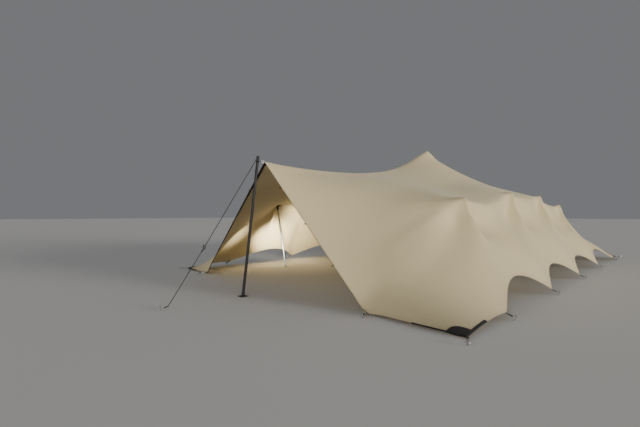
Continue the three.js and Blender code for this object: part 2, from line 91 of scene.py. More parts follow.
# The sheet: finer forms than the net can hold, as lengths in metres and places in rows and
# columns of the net
NOSE_DEPTH, NOSE_AT, NOSE_SPAN, NOSE_ROUND = 0.22, 0.23, 0.24, 0.12
NOSE_NEAR, NOSE_SPREAD, NOSE_LEAST = 0.15, 0.55, 0.05
WALL_OUT = np.array([0.88, 0.0, 0.47])
FULLNESS, FULL_ROW, FULL_SPAN = 0.10, 4.6, 2.8
FULL_START, FULL_END = 4.0, (7, 11.5)
SAG_FILL, SAG_END, CLEAR_REACH = 0.12, (8, 13), 0.3
HEAD_DIP, KING_DIP, DIP_END = (0.045, 0.07, 0.45), (0.03, 0.10, 0.70), 0.15
ROOF_LIFTS, LIFT_SKEW = (0.060, 0.110, 0.150), 1.4
LIFT_ROW, LIFT_SPAN = 6.5, 2.2
ROOF_FILLS, FILL_ROW, FILL_SPAN, FILL_WIDTH = (0.05, 0.06, 0.05, 0.0), 7.8, 1.6, 0.9
REAR_SOFT, REAR_SOFT_COLUMN, REAR_SOFT_ROWS = 0.155, 33, 0.87
REAR_SOFT_SPANS = (1.35, 0.9)
SOFT_ROWS, SOFT_SPAN, SOFT_START, SOFT_END = 1.5, 3.0, (0.3, 2.5), (5.5, 7.9)
SOFT_TAPS = ((-2, 1), (-1, 2), (0, 3), (1, 2), (2, 1))
EDGE_BLEND, TIP_BLEND, TIP_ROWS = 1.6, 2.5, (7.5, 9.5)
RIDGE_BLEND, RIDGE_START, RIDGE_EASE = 1.2, 0.5, 3.5

# The sheet: cloth, hem and tapes
CLOTH = 0.0018
HEM_CLOTH = 0.0044
HEM_BAND, HEM_STEP = 0.045, 0.008
HEM_REACH, HEM_START, FRONT_CELL = 0.012, (TOE_ROW - 0.2, TOE_ROW + 1.2), 0.32
RIM_ROWS = np.array([0.035, 0.22, 0.26])
RIM_COLUMNS = np.array([0.02, 0.125, 0.147])
TAPE_FACE, TAPE = HEM_CLOTH / 2 + 0.0004, 0.0030
PATCH_DROP, PATCH_THICK = 0.0045, 0.0026
FINE = 5
NEAR_HEAD = np.array([-0.15, -0.1, -0.05, 0.05, 0.1, 0.15])
FLAT_WIDTH, FLAT_LENGTH = 10.0, 12.3
BEAD, BEAD_IN, BEAD_UNDER = 0.0045, -0.0010, -0.0020
BEAD_TURN = (58, 302)
HEM_TAPE = np.array([(0.057, -0.0062), (0.0585, -0.0053), (0.0585, -0.0038), (0.057, -0.0029)])
LOOP_ROWS = (12.95, 10.28, 7.62)
LOOP_IN, LOOP_REACH, LOOP_UNDER, LOOP_HALF = 0.020, 0.016, 0.0095, 0.017
LOOP_THICK, LOOP_WIRE, LOOP_OUT, LOOP_SPAN = 0.0032, 0.0030, 0.014, 0.02
MOON_ROWS, MOON_COLUMNS, MOON_RIM = 0.86, 0.64, 0.0022
RIM_RISE, RIM_FALL = (0.84, 0.9), (0.97, 1.0)
STRAP_IN, STRAP_FOLD = (-0.0036, -0.0056, -0.0036, -0.0012), 0.0022
# the corner's straps: which edge, how far in rows or columns, and inside, hang and lip
STRAPS = ("side", 2.0, 0.036, 0.012, 0), ("end", 2.45, 0.003, 0.018, 0.012)

# Poles: a length is in metres and an outline is a list of (radius, height)
SIDE_POLE = {
    "radius": 0.028, "wall": 0.0035, "lap": 0.020, "top": 0.012, "sides": 40, "plate": 0.150,
    "joint": 1.12, "below": 0.150, "neck": 0.0285, "crown": 0.046, "patch": 0.100,
    "sleeve at": 0.011, "clamp at": 0.028, "pin": 0.0045, "pin length": 0.072,
    "lever": (0.016, 0.010, 0.058), "lever at": (0, 0.031, -0.004), "lever corner": 0.004,
    "sleeve": [
        (0.0360, 0), (0.0310, 0.006), (0.0290, 0.012), (0.0290, 0.070), (0.0275, 0.072),
        (0.0255, 0.072),
    ],
    "clamp": [(0.0262, 0), (0.0300, 0.003), (0.0300, 0.046), (0.0285, 0.049), (0.0225, 0.050)],
}
KING_POLE = {
    "radius": 0.038, "wall": 0.0045, "lap": 0.030, "top": 0.010, "sides": 48, "plate": 0.250,
    "joint": 1.90, "below": 0.130, "neck": 0.0400, "crown": 0.072, "patch": 0.160,
    "sleeve at": 0.006, "clamp at": 0.036, "pin": 0.006, "pin length": 0.104,
    "lever": (0.020, 0.014, 0.074), "lever at": (0, 0.049, -0.002), "lever corner": 0.005,
    "sleeve": [
        (0.0560, 0), (0.0490, 0.008), (0.0460, 0.014), (0.0460, 0.052), (0.0440, 0.055),
        (0.0385, 0.055),
    ],
    "clamp": [(0.0395, 0), (0.0445, 0.004), (0.0445, 0.062), (0.0425, 0.066), (0.0340, 0.067)],
}
TUBE_FOOT = 0.012
PLATE, PLATE_CORNER, BOLT_AT = 0.008, 0.014, 0.36
BOLT = [(0.0085, -0.001), (0.0085, 0.0006), (0.0075, 0.0012), (0.001, 0.0014)]
CROWN_OUT = np.array([0.04, 0.3, 0.6, 0.82, 0.95, 1.0])
CROWN_DROP = np.array([0, 0, 0, 0, 0.0015, 0.005])
NECK_SHARE = np.array([0.10, 0.35, 0.70, 0.92, 1.0])
NECK_LENGTH = 0.030

# Mast and guy
MAST_RADIUS = 0.027
MAST_FOOT = np.array([0, -6.920, 0])
MAST_TOP = np.array([0, -6.570, 2.730])
MAST_ENDS, MAST_PLATE = (0.012, 2.712), 0.160
MAST_SLEEVE_AT, MAST_CAP_AT, MAST_BAND_AT, MAST_EYE_AT = 0.008, 2.700, 2.650, 2.670
MAST_SLEEVE = [
    (0.0400, 0), (0.0340, 0.006), (0.0315, 0.012), (0.0315, 0.070), (0.0300, 0.072), (0.0275, 0.072),
]
MAST_CAP = [
    (0.0285, 0), (0.0315, 0.003), (0.0320, 0.030), (0.0300, 0.042), (0.0240, 0.052), (0.0130, 0.059),
    (0.0020, 0.061),
]
MAST_BAND = [(0.0275, 0), (0.0290, 0.001), (0.0290, 0.034), (0.0275, 0.035)]
TIP_RING, TIP_RING_WIRE, TIP_RING_OUT = 0.026, 0.0045, 0.047
TIP_STRAP_FROM, TIP_STRAP_TO, TIP_STRAP_APART = 0.024, 0.003, 0.0064
BAND_UNDER_TIP, BAND_OUT, BAND_THICK = 0.012, 0.0022, 0.0036
TIP_PATCH_ROWS, TIP_PATCH_WIDE, TIP_PATCH_LEAST = 0.3, 0.32, 0.02
LASH_AT, LASH_PITCH, LASH_TURNS, LASH_OUT, LASH = 2.440, 0.0085, 5, 0.0035, 0.0040
GUY_FOOT = np.array([0, -8.350, 0.060])
EYE_OUT, EYE_RING, EYE_WIRE = 0.014, 0.013, 0.0036
BLOCK_AT, CHEEK_AT, CHEEK, SHEAVE_AT = 0.64, 0.011, (0.003, 0.040, 0.080), 0.010
STRANDS, STRAND_PITCH, STRAND_FROM, STRAND = 4, 0.0070, 0.010, 0.0022
TAIL, TAIL_FROM = 0.0070, 0.015
KNOT_AT, KNOT_PITCH, KNOT_TURNS, KNOT, KNOT_ROPE = 0.050, 0.019, 3, 0.0120, 0.0060
SHEAVE = [(0.014, 0), (0.018, 0.002), (0.014, 0.008), (0.014, 0.012), (0.018, 0.018), (0.014, 0.020)]

# Stakes and ties
STAKE_RADIUS, STAKE_HEIGHT, STAKE_LEAN = 0.011, 0.085, 0.35
STAKE_HEAD = np.array([
    (0.0110, 0.80), (0.0118, 0.82), (0.0185, 0.86), (0.0200, 0.90), (0.0196, 0.97), (0.0160, 1.00),
    (0.0060, 1.02), (0.0010, 1.022),
])
RING, RING_WIRE, RING_UP, RING_BACK = 0.0300, 0.0045, 0.044, 0.0165
STRAP_WIDTH, STRAP, STRAP_GAP, STRAP_OVER = 0.034, 0.0028, 0.0030, 0.012
FOLD, FOLD_LIFT, FOLD_FROM, FOLD_TO = 0.0062, 0.0034, 0.005, 0.050
GUY_OUT, GUY_REACH = np.array([0, -1.0, 0]), 0.100
GUY_TIE, GUY_TIE_PAST = (0.015, 0.004), 0.016
# for each kind of tie: from the edge to the stake, half of what the strap lies under, and how
# far it runs up the sheet
TIES = {
    "side": (0.115, 0.004, 0.080),
    "rear": (0.115, 0.004, 0.080),
    "corner": (0.200, 0.006, 0.080),
    "toe": (0.220, 0.008, 0.030),
}
CORNER_AWAY, TOE_AWAY = (0.45, 0.9), (0.5, -1)
# the toes' ratchets: each place is along the strap, to its side and above it
RATCHET_CHEEKS = np.array([(0, -0.024, 0.010), (0, 0.024, 0.010)])
RATCHET_AXLES = np.array([(-0.034, -0.028, 0.014), (0.030, -0.028, 0.014)])
RATCHET_HANDLE = np.array([0.004, 0, 0.030])
CHEEK_SIZE, HANDLE_SIZE = (0.095, 0.0030, 0.030), (0.105, 0.046, 0.0030)
AXLE = [(0.0075, 0), (0.0085, 0.001), (0.0085, 0.055), (0.0075, 0.056)]

# Camera: the photograph's place, direction and lens
EYE = Vector((6.08, -10.70, 1.58))
LOOK = Vector((-0.720, 0.6935, 0))
SENSOR = 36.0
LENS = 20.31
SHIFT_Y = 0.0019
FAR = 400

UP = np.array([0.0, 0.0, 1.0])
ACROSS = np.array([1.0, 0.0, 0.0])
BACK = np.array([0.0, 1.0, 0.0])
LEVEL = np.array([1, 1, 0])
TURN = 2 * math.pi
HANDS = ((1, "right"), (-1, "left"))
ENDS = ((-1, "front"), (1, "rear"))
CORNERS = [(end, hand) for end, _ in ENDS for hand, _ in HANDS]


def length(v):
    """How long each vector is."""
    return np.linalg.norm(v, axis=-1)


def unit(v):
    """Vectors of length one."""
    return v / np.maximum(length(v)[..., None], 1e-12)


def smooth(low, high, t):
    """0 below low, 1 above high, and an S between them."""
    s = np.clip((t - low) / (high - low), 0, 1)
    return s * s * (3 - 2 * s)


def bell(t):
    """1 at 0 and falling to both sides: exp(-t ** 2)."""
    return np.exp(-(t**2))


def mix(a, b, t):
    """A straight way from a to b."""
    return a + (b - a) * t


def line(a, b, count):
    """Evenly spaced points from a to b."""
    return mix(a, b, np.linspace(0, 1, count)[:, None])


def oblong(x, y):
    """The outline of a flat strap: a rectangle that reaches x and y from its middle."""
    return np.array([(-x, -y), (x, -y), (x, y), (-x, y)])


def row_on(hand, row):
    """A row counted from the right edge, or from the left one."""
    return row if hand > 0 else ROWS - row


def column_on(end, column):
    """A column counted from the front edge, or from the rear one."""
    return column if end < 0 else COLUMNS - column


def corner_name(end, hand):
    """The words for a corner of the sheet, its end first."""
    return f"{dict(ENDS)[end]}_{dict(HANDS)[hand]}"


def put(name, data):
    """A new object in the scene, at the origin."""
    thing = bpy.data.objects.new(name, data)
    bpy.context.scene.collection.objects.link(thing)
    return thing


def aim(thing, way, axis="Z"):
    """Turns a thing until its axis points along the way."""
    thing.rotation_mode = "QUATERNION"
    thing.rotation_quaternion = Vector(way).to_track_quat(axis, "Y")


# Camera

camera_data = bpy.data.cameras.new("camera")
camera_data.sensor_width = SENSOR
camera_data.lens = LENS
camera_data.shift_y = SHIFT_Y
camera_data.clip_end = FAR
camera = put("camera", camera_data)
camera.location = EYE
aim(camera, LOOK, "-Z")
bpy.context.scene.camera = camera


# Materials: colours, then pitches and reaches in metres
SAND, PALE_SAND = (0.525, 0.443, 0.262), (0.610, 0.518, 0.310)
HEM_SAND, DUST, THREAD = (0.38, 0.31, 0.19), (0.330, 0.270, 0.180), (0.16, 0.14, 0.10)
STRAP_BLACK, STRAP_GREY = (0.008, 0.008, 0.009), (0.034, 0.033, 0.032)
ROPE_BLACK, ROPE_GREY = (0.010, 0.010, 0.011), (0.050, 0.048, 0.046)
ZINC_DARK, ZINC_PALE, SOIL = (0.36, 0.37, 0.38), (0.66, 0.67, 0.68), (0.16, 0.12, 0.085)
ALLOY_DARK, ALLOY_PALE, ALLOY_MARK = (0.46, 0.47, 0.485), (0.70, 0.71, 0.72), (0.25, 0.25, 0.25)
PAINT_BLACK, PAINT_DUST = (0.009, 0.009, 0.010), (0.030, 0.029, 0.028)
PAINT_SCUFF = (0.12, 0.12, 0.12)
RUBBER_BLACK, RUBBER_BLOOM = (0.012, 0.012, 0.012), (0.034, 0.033, 0.032)
PALE_FLOOR = (0.74, 0.73, 0.71, 1)
FABRIC_RIB = 0.0050
STITCH_ROWS, STITCH_WIDE, STITCH_PITCH, STITCH_SHARE = (0.038, 0.010), 0.0011, 0.008, 0.68
DUST_REACH, SOIL_REACH = 0.5, 0.06
WEBBING_RIB, WEBBING_PICK, WEBBING_TWILL, ROPE_LAY = 0.0024, 0.0032, 0.0060, 0.016


def maths(operation, swapped=False):
    """A way to work with sockets: it adds the Math node of its operation."""

    def work(self, other=0.0):
        a, b = (other, self) if swapped else (self, other)
        return self.finish.add("Math", {"operation": operation}, {0: a, 1: b})

    return work


class Wire:
    """A socket in a sum: arithmetic on wires adds the Math nodes that work it out."""

    def __init__(self, finish, socket):
        self.finish = finish
        self.socket = socket

    __add__ = __radd__ = maths("ADD")
    __mul__ = __rmul__ = maths("MULTIPLY")
    __sub__ = maths("SUBTRACT")
    __rsub__ = maths("SUBTRACT", True)
    __truediv__ = maths("DIVIDE")
    __rtruediv__ = maths("DIVIDE", True)
    sine = maths("SINE")
    size = maths("ABSOLUTE")
    part = maths("FRACT")
    below = maths("LESS_THAN")

    def within(self):
        return self.finish.add("Clamp", {}, {0: self})


class Finish:
    """A material in the making: one Principled shader and the nodes that feed it."""

    def __init__(self, name, constants):
        self.material = bpy.data.materials.new(name)
        self.material.use_nodes = True
        self.tree = self.material.node_tree
        self.shader = self.tree.nodes["Principled BSDF"]
        for socket, value in constants.items():
            self.shader.inputs[socket].default_value = value

    def feed(self, socket, value):
        if isinstance(value, Wire):
            self.tree.links.new(value.socket, socket)
        else:
            socket.default_value = value

    def add(self, kind, settings, sockets, out=0):
        """Adds a node: its settings first, then the values or links of its sockets."""
        node = self.tree.nodes.new("ShaderNode" + kind)
        for name, value in settings.items():
            setattr(node, name, value)
        for name, value in sockets.items():
            self.feed(node.inputs[name], value)
        return Wire(self, node.outputs[out])

    def place(self, scale=(1, 1, 1)):
        where = self.add("TexCoord", {}, {}, "Object")
        return self.add("Mapping", {}, {"Vector": where, "Scale": scale})

    def near_ground(self, place, reach):
        """1 on the ground, falling to 0 at a height."""
        height = self.add("SeparateXYZ", {}, {0: place}, 2)
        return (1 - height / reach).within()

    def cloth(self):
        """The two lengths along the surface's own weave, in metres."""
        uv = self.add("UVMap", {"uv_map": "weave"}, {})
        return [self.add("SeparateXYZ", {}, {0: uv}, n) for n in (0, 1)]

    def value(self, name):
        return self.add("Attribute", {"attribute_name": name}, {}, "Fac")

    def noise(self, vector, scale, detail=2.0, roughness=0.5):
        sockets = {"Vector": vector, "Scale": scale, "Detail": detail, "Roughness": roughness}
        return self.add("TexNoise", {}, sockets)

    def cells(self, vector, scale):
        return self.add("TexVoronoi", {}, {"Vector": vector, "Scale": scale})

    def tint(self, share, a, b):
        """Colour a where share is 0, b where it is 1."""
        a, b = [(*colour, 1) if isinstance(colour, tuple) else colour for colour in (a, b)]
        return self.add("Mix", {"data_type": "RGBA"}, {0: share, 6: a, 7: b}, 2)

    def bump(self, height, distance, strength=1.0):
        return self.add("Bump", {}, {"Height": height, "Distance": distance, "Strength": strength})

    def done(self, colour, roughness, normal):
        self.feed(self.shader.inputs["Base Color"], colour)
        self.feed(self.shader.inputs["Roughness"], roughness)
        self.feed(self.shader.inputs["Normal"], normal)
        return self.material


def stretch_fabric():
    """Matt knitted fabric: a fine two-way rib, soft clouds of tone, a double hem with two rows
    of stitches, and a little dust near the ground."""
    sheen = {"Sheen Weight": 0.10, "Sheen Roughness": 0.5, "Specular IOR Level": 0.25}
    f = Finish("stretch_fabric", sheen)
    place = f.place()
    u, v = f.cloth()
    edge, along = f.value("edge"), f.value("along")
    clouds = f.noise(place, 0.5, 3.0)
    flecks = f.noise(place, 14.0, 4.0, 0.6)
    dust = (f.near_ground(place, DUST_REACH) * flecks * 0.55).within()
    hem = edge.below(HEM_BAND)
    outer, inner = [(edge - row).size().below(STITCH_WIDE) for row in STITCH_ROWS]
    stitches = (outer + inner).within() * (along / STITCH_PITCH).part().below(STITCH_SHARE)
    colour = f.tint(clouds * 0.7 + flecks * 0.3, SAND, PALE_SAND)
    colour = f.tint(hem * 0.10, colour, HEM_SAND)
    colour = f.tint(dust, colour, DUST)
    colour = f.tint(stitches * 0.6, colour, THREAD)
    rib = (u * (TURN / FABRIC_RIB)).sine() * 0.5 + (v * (TURN / FABRIC_RIB)).sine() * 0.5
    relief = rib * 0.25 + f.noise(place, 160.0, 2.0) * 0.35 - stitches * 1.5
    return f.done(colour, flecks * 0.12 + 0.62, f.bump(relief, 0.0007, 0.8))


def webbing():
    """Black woven strap: ribs across it, a slanting twill, and worn paler patches."""
    f = Finish("webbing", {"Sheen Weight": 0.06, "Specular IOR Level": 0.2})
    place = f.place()
    u, v = f.cloth()
    rib = (u * (TURN / WEBBING_RIB)).sine() * (v * (TURN / WEBBING_PICK)).sine()
    twill = ((u + v) * (TURN / WEBBING_TWILL)).sine()
    wear = f.noise(place, 22.0, 4.0, 0.6)
    worn = (wear * 1.6 - 0.55).within() * 0.5 + (rib * 0.5 + 0.5) * 0.25
    colour = f.tint(worn, STRAP_BLACK, STRAP_GREY)
    relief = rib * 0.7 + twill * 0.3 + wear * 0.4
    return f.done(colour, wear * 0.15 + 0.72, f.bump(relief, 0.0006, 0.9))


def rope():
    """Braided black rope: two sets of strands that cross on a slant."""
    f = Finish("rope", {"Sheen Weight": 0.2, "Specular IOR Level": 0.3})
    u, v = f.cloth()
    one = ((u / ROPE_LAY + v) * TURN).sine()
    two = ((u / ROPE_LAY - v) * TURN).sine()
    braid = one * two
    fuzz = f.noise(f.place(), 180.0, 3.0)
    colour = f.tint((braid * 0.4 + fuzz * 0.5).within(), ROPE_BLACK, ROPE_GREY)
    return f.done(colour, fuzz * 0.1 + 0.7, f.bump(braid + fuzz * 0.4, 0.0009, 0.9))


def galvanised():
    """Zinc on steel: a soft spangle of crystals, dulled in patches and browned near the ground."""
    f = Finish("galvanised_steel", {"Metallic": 1.0})
    place = f.place()
    spangle = f.cells(place, 90.0)
    dull = f.noise(place, 12.0, 4.0, 0.6)
    soil = (f.near_ground(place, SOIL_REACH) * dull).within()
    colour = f.tint((spangle * 0.5 + dull * 0.5).within(), ZINC_DARK, ZINC_PALE)
    colour = f.tint(soil * 0.7, colour, SOIL)
    relief = f.bump(spangle * 0.4 + dull * 0.6, 0.0004, 0.6)
    return f.done(colour, dull * 0.25 + 0.28 + soil * 0.3, relief)


def brushed_alloy():
    """Drawn aluminium tube: fine lines along its length, handling marks and a soft bloom."""
    f = Finish("brushed_alloy", {"Metallic": 1.0})
    lines = f.noise(f.place((1, 1, 0.012)), 420.0, 3.0, 0.6)
    bloom = f.noise(f.place(), 5.0, 4.0, 0.55)
    marks = (f.noise(f.place((1, 1, 0.4)), 60.0, 5.0, 0.7) - 0.62).within() * 3.0
    colour = f.tint((lines * 0.5 + bloom * 0.5).within(), ALLOY_DARK, ALLOY_PALE)
    colour = f.tint(marks.within() * 0.5, colour, ALLOY_MARK)
    return f.done(colour, lines * 0.12 + bloom * 0.12 + 0.24, f.bump(lines, 0.00025, 0.7))


def mast_paint():
    """Black powder coat: a fine orange peel, dust on it, and scuffs that show grey."""
    f = Finish("mast_paint", {"Specular IOR Level": 0.25})
    place = f.place()
    peel = f.noise(place, 320.0, 2.0)
    dust = f.noise(place, 7.0, 4.0, 0.6)
    scuff = (f.noise(f.place((1, 1, 0.25)), 46.0, 5.0, 0.7) - 0.64).within() * 4.0
    colour = f.tint(dust * 0.5, PAINT_BLACK, PAINT_DUST)
    colour = f.tint(scuff.within() * 0.5, colour, PAINT_SCUFF)
    return f.done(colour, dust * 0.2 + 0.34, f.bump(peel * 0.5 - scuff * 0.3, 0.0004, 0.7))


def moulded_rubber():
    """Dull black rubber with a pebbled skin."""
    f = Finish("moulded_rubber", {"Specular IOR Level": 0.35})
    place = f.place()
    bloom = f.noise(place, 18.0, 4.0)
    colour = f.tint(bloom, RUBBER_BLACK, RUBBER_BLOOM)
    return f.done(colour, bloom * 0.15 + 0.66, f.bump(f.cells(place, 420.0), 0.0006, 0.6))


# Each finish goes with the name of a slot
FABRIC = stretch_fabric(), "sheet"
WEBBING = webbing(), "webbing"
ROPE = rope(), "webbing"
STEEL = galvanised(), "steel"
ALLOY = brushed_alloy(), "alloy"
PAINT = mast_paint(), "mast_paint"
RUBBER = moulded_rubber(), "rubber"


# Surfaces


class Shape:
    """Closed surfaces gathered for one mesh. Every surface is a grid of points, whole arrays."""

    def __init__(self):
        self.points, self.faces, self.weave = [], [], []
        self.count = 0

    def grid(self, points, closed=False):
        """Quads between neighbouring points (rows, columns), the last column joined to the
        first. One face closes each of the first and last rows, or closed joins the two."""
        rows, columns = points.shape[:2]
        middle = points.mean(1)
        path = length(np.diff(middle, axis=0, append=middle[:1]))
        around = length(np.diff(points, axis=1, append=points[:, :1]))
        along = np.concatenate([[0], np.cumsum(path)])
        across = np.concatenate([[0], np.cumsum(around.max(0))])
        weave = np.stack(np.meshgrid(along, across, indexing="ij"), -1)
        quads = np.arange(rows if closed else rows - 1), np.arange(columns)
        i, j = np.meshgrid(*quads, indexing="ij")
        steps = ((0, 0), (0, 1), (1, 1), (1, 0))
        corners = [(((i + a) % rows) * columns + (j + b) % columns).ravel() for a, b in steps]
        laid = [weave[i + a, j + b].reshape(-1, 2) for a, b in steps]
        self.faces += (np.stack(corners, -1) + self.count).tolist()
        self.weave.append(np.stack(laid, 1).reshape(-1, 2))
        if not closed:
            ends = [np.arange(columns)[::-1], (rows - 1) * columns + np.arange(columns)]
            self.faces += [(end + self.count).tolist() for end in ends]
            self.weave.append(np.zeros((2 * columns, 2)))
        self.points.append(points.reshape(-1, 3))
        self.count += rows * columns
        return self

    def tube(self, path, radius, sides):
        """A round tube along a path: path + radius * (cos a * side + sin a * top)."""
        angle = np.linspace(0, TURN, sides, endpoint=False)
        ring = np.stack([np.cos(angle), np.sin(angle)], -1)
        return self.sweep(path, ring * radius)

    def sweep(self, path, outline, up=UP):
        """A closed outline carried along a path, side being square to the path and to up."""
        way = unit(np.gradient(path, axis=0))
        side = unit(np.cross(way, np.broadcast_to(up, way.shape)))
        top = np.cross(side, way)
        return self.carry(path, outline, side, top)

    def carry(self, path, outline, side, top):
        """An outline, one for all points or one for each, carried along a path whose two
        square directions are given: path + x * side + y * top."""
        across, up = outline[..., :1] * side[:, None], outline[..., 1:] * top[:, None]
        return self.grid(path[:, None] + across + up)

    def turned(self, start, way, outline, sides=32):
        """A body of revolution: start + z * way + r * (cos a * side + sin a * top), for each
        (r, z) of the outline."""
        way = unit(np.asarray(way, float))
        side = unit(np.cross(way, [0.0, 1.0, 0.02]))
        top = np.cross(side, way)
        angle = np.linspace(0, TURN, sides, endpoint=False)
        ring = np.cos(angle)[:, None] * side + np.sin(angle)[:, None] * top
        r, z = np.array(outline, float).T
        return self.grid(np.asarray(start) + z[:, None, None] * way + r[:, None, None] * ring)

    def ring(self, centre, axis, radius, wire, sides=40, around=10):
        """A torus: centre + (radius + wire * cos b) * spoke(a) + wire * sin b * axis."""
        axis = unit(np.asarray(axis, float))
        first = unit(np.cross(axis, [0.31, 0.72, 0.62]))
        second = np.cross(axis, first)
        a = np.linspace(0, TURN, sides, endpoint=False)[:, None, None]
        b = np.linspace(0, TURN, around, endpoint=False)[None, :, None]
        spoke = np.cos(a) * first + np.sin(a) * second
        points = np.asarray(centre) + (radius + wire * np.cos(b)) * spoke + wire * np.sin(b) * axis
        return self.grid(points, closed=True)

    def slab(self, centre, size, axes=np.eye(3), corner=0.01, chamfer=0.001):
        """A plate with rounded corners and chamfered rims: outlines of a rounded rectangle,
        one above the other, the first and last drawn in by the chamfer."""
        width, depth, thick = size
        angle = np.linspace(0, TURN, 32, endpoint=False) + TURN / 64
        turn = np.stack([np.cos(angle), np.sin(angle)], -1)
        inset = np.array([chamfer, 0, 0, chamfer])[:, None, None]
        level = np.array([0, chamfer, thick - chamfer, thick]) - thick / 2
        half = np.array([width / 2 - corner, depth / 2 - corner])
        flat = np.sign(turn) * half + turn * (corner - inset)
        points = np.concatenate([flat, np.broadcast_to(level[:, None, None], (4, 32, 1))], -1)
        return self.grid(np.asarray(centre) + points @ axes)


def make(name, shape, finish, stands_for=(), sharp=35):
    """One mesh object from a shape. Its place is in its mesh and its faces point outwards."""
    material, slot = finish
    mesh = bpy.data.meshes.new(name)
    mesh.from_pydata(np.concatenate(shape.points).tolist(), [], shape.faces)
    layer = mesh.uv_layers.new(name="weave")
    layer.data.foreach_set("uv", np.concatenate(shape.weave).astype(np.float32).ravel())
    work = bmesh.new()
    work.from_mesh(mesh)
    bmesh.ops.recalc_face_normals(work, faces=work.faces)
    work.to_mesh(mesh)
    work.free()
    mesh.shade_smooth()
    mesh.set_sharp_from_angle(angle=math.radians(sharp))
    mesh.materials.append(material)
    thing = put(name, mesh)
    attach(thing, "root")
    if stands_for:
        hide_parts(*stands_for)
    return thing


# The sheet: a net in balance, and a smooth surface through it


def arch(t, skew=1.0):
    """An arch between two held points: 0 at both and 1 at its top, which a skew moves on."""
    s = np.clip(t, 0, 1) ** skew
    return np.clip(4 * s * (1 - s), 0, None) ** ARCH_POWER


def scallops(place, stops, held, inward, shares, skew=1.0):
    """A straight way from one held point to the next, and an arch: share * arch(t) times the
    inset along the way inward and the rise upward."""
    k = np.clip(np.searchsorted(stops[1:], place), 0, len(stops) - 2)
    t = (place - stops[k]) / (stops[k + 1] - stops[k])
    bend = ARCH_INSET * np.array(inward) + ARCH_RISE * UP
    rise = (arch(t, skew) * np.array(shares)[k])[:, None] * bend
    return mix(held[k], held[k + 1], t[:, None]) + rise


def side_edge(column):
    """The right ground edge: scallops from the front corner over five feet to the rear corner."""
    feet = [(FOOT_X, FOOT_SHIFT + n * FOOT_PITCH, FOOT_HEIGHT) for n in range(-2, 3)]
    held = np.array([(CORNER_X, -END_Y, GROUND_EDGE), *feet, (CORNER_X, END_Y, GROUND_EDGE)])
    shares = END_ARCH, 1, 1, 1, 1, END_ARCH
    return scallops(column, FOOT_COLUMNS, held, (-1, 0, 0), shares, ARCH_SKEW)


def front_edge(row, side):
    """One half of the front edge, along the ground to the toe, then straight to the tip. Both
    halves are drawn on the right; the left one has its toe further out."""
    corner, tip = np.array([CORNER_X, -END_Y, GROUND_EDGE]), np.array([0, TIP_Y, TIP_HEIGHT])
    toe_x = np.where(np.broadcast_to(side, row.shape) > 0, TOE_X, LEFT_TOE_X)
    toe = np.stack([toe_x, 0 * toe_x - END_Y, 0 * toe_x + GROUND_EDGE], -1)
    low = mix(corner, toe, row[:, None] / TOE_ROW)
    high = mix(toe, tip, (row[:, None] - TOE_ROW) / (RIDGE_ROW - TOE_ROW))
    return np.where(row[:, None] <= TOE_ROW, low, high)


def rear_edge(row):
    """The rear edge: three scallops between the corners and the two rear feet."""
    corner, foot = (CORNER_X, END_Y, GROUND_EDGE), (REAR_FOOT_X, END_Y, FOOT_HEIGHT)
    held = np.array([corner, foot, (-foot[0], *foot[1:]), (-corner[0], *corner[1:])])
    return scallops(row, REAR_ROWS, held, (0, -1, 0), (1, 1, 1))


def ridge_line(column):
    """The ridge falls from the king pole as exp(-(distance / reach) ** power) and lifts to the
    tip as exp(-distance / reach)."""
    back = rear_edge(np.array([float(RIDGE_ROW)]))[0, 1]
    share = column / KING_COLUMN - 1
    y = share * np.where(share < 0, -TIP_Y, back)
    low, reach = np.where(y > 0, REAR_LOW, RIDGE_LOW), np.where(y > 0, REAR_REACH, RIDGE_REACH)
    fall = low + (KING_HEIGHT - low) * np.exp(-((np.abs(y) / reach) ** RIDGE_POWER))
    lift = (TIP_HEIGHT - RIDGE_LOW) * np.exp((TIP_Y - y) / TIP_REACH)
    return np.stack([np.zeros_like(y), y, fall + np.where(y > 0, 0, lift)], -1)


SIDE_HEADS = np.array([(SIDE_HEAD_X[n], (n - 1.5) * SIDE_POLE_PITCH, SIDE_HEAD_Z[n]) for n in range(4)])


def pole_line(column, side):
    """Straight from the front edge through the four side pole heads to the rear edge."""
    row = np.array([float(POLE_ROW)])
    stops = np.concatenate([front_edge(row, side), SIDE_HEADS, rear_edge(row)])
    places = (0, *POLE_COLUMNS, COLUMNS)
    return np.stack([np.interp(column, places, stops[:, n]) for n in range(3)], -1)


def half_plan(side):
    """The plan of one half, drawn on the right: two patches that meet in the line of the side
    poles, each the sum of its two ruled patches less the one through its corners."""
    column = np.arange(COLUMNS + 1.0)
    v = column[None, :, None] / COLUMNS
    skirt, poles, ridge = side_edge(column), pole_line(column, side), ridge_line(column)
    parts = []
    for low, high, first, last in ((skirt, poles, 0, POLE_ROW), (poles, ridge, POLE_ROW, RIDGE_ROW)):
        row = np.arange(first, last + 1.0)
        u = ((row - first) / (last - first))[:, None, None]
        a, b = low[None], high[None]
        ends = mix(front_edge(row, side)[:, None], rear_edge(row)[:, None], v)
        corners = mix(mix(a[:, :1], b[:, :1], u), mix(a[:, -1:], b[:, -1:], u), v)
        parts.append(mix(a, b, u) + ends - corners)
    return np.concatenate([parts[0][:-1], parts[1]])


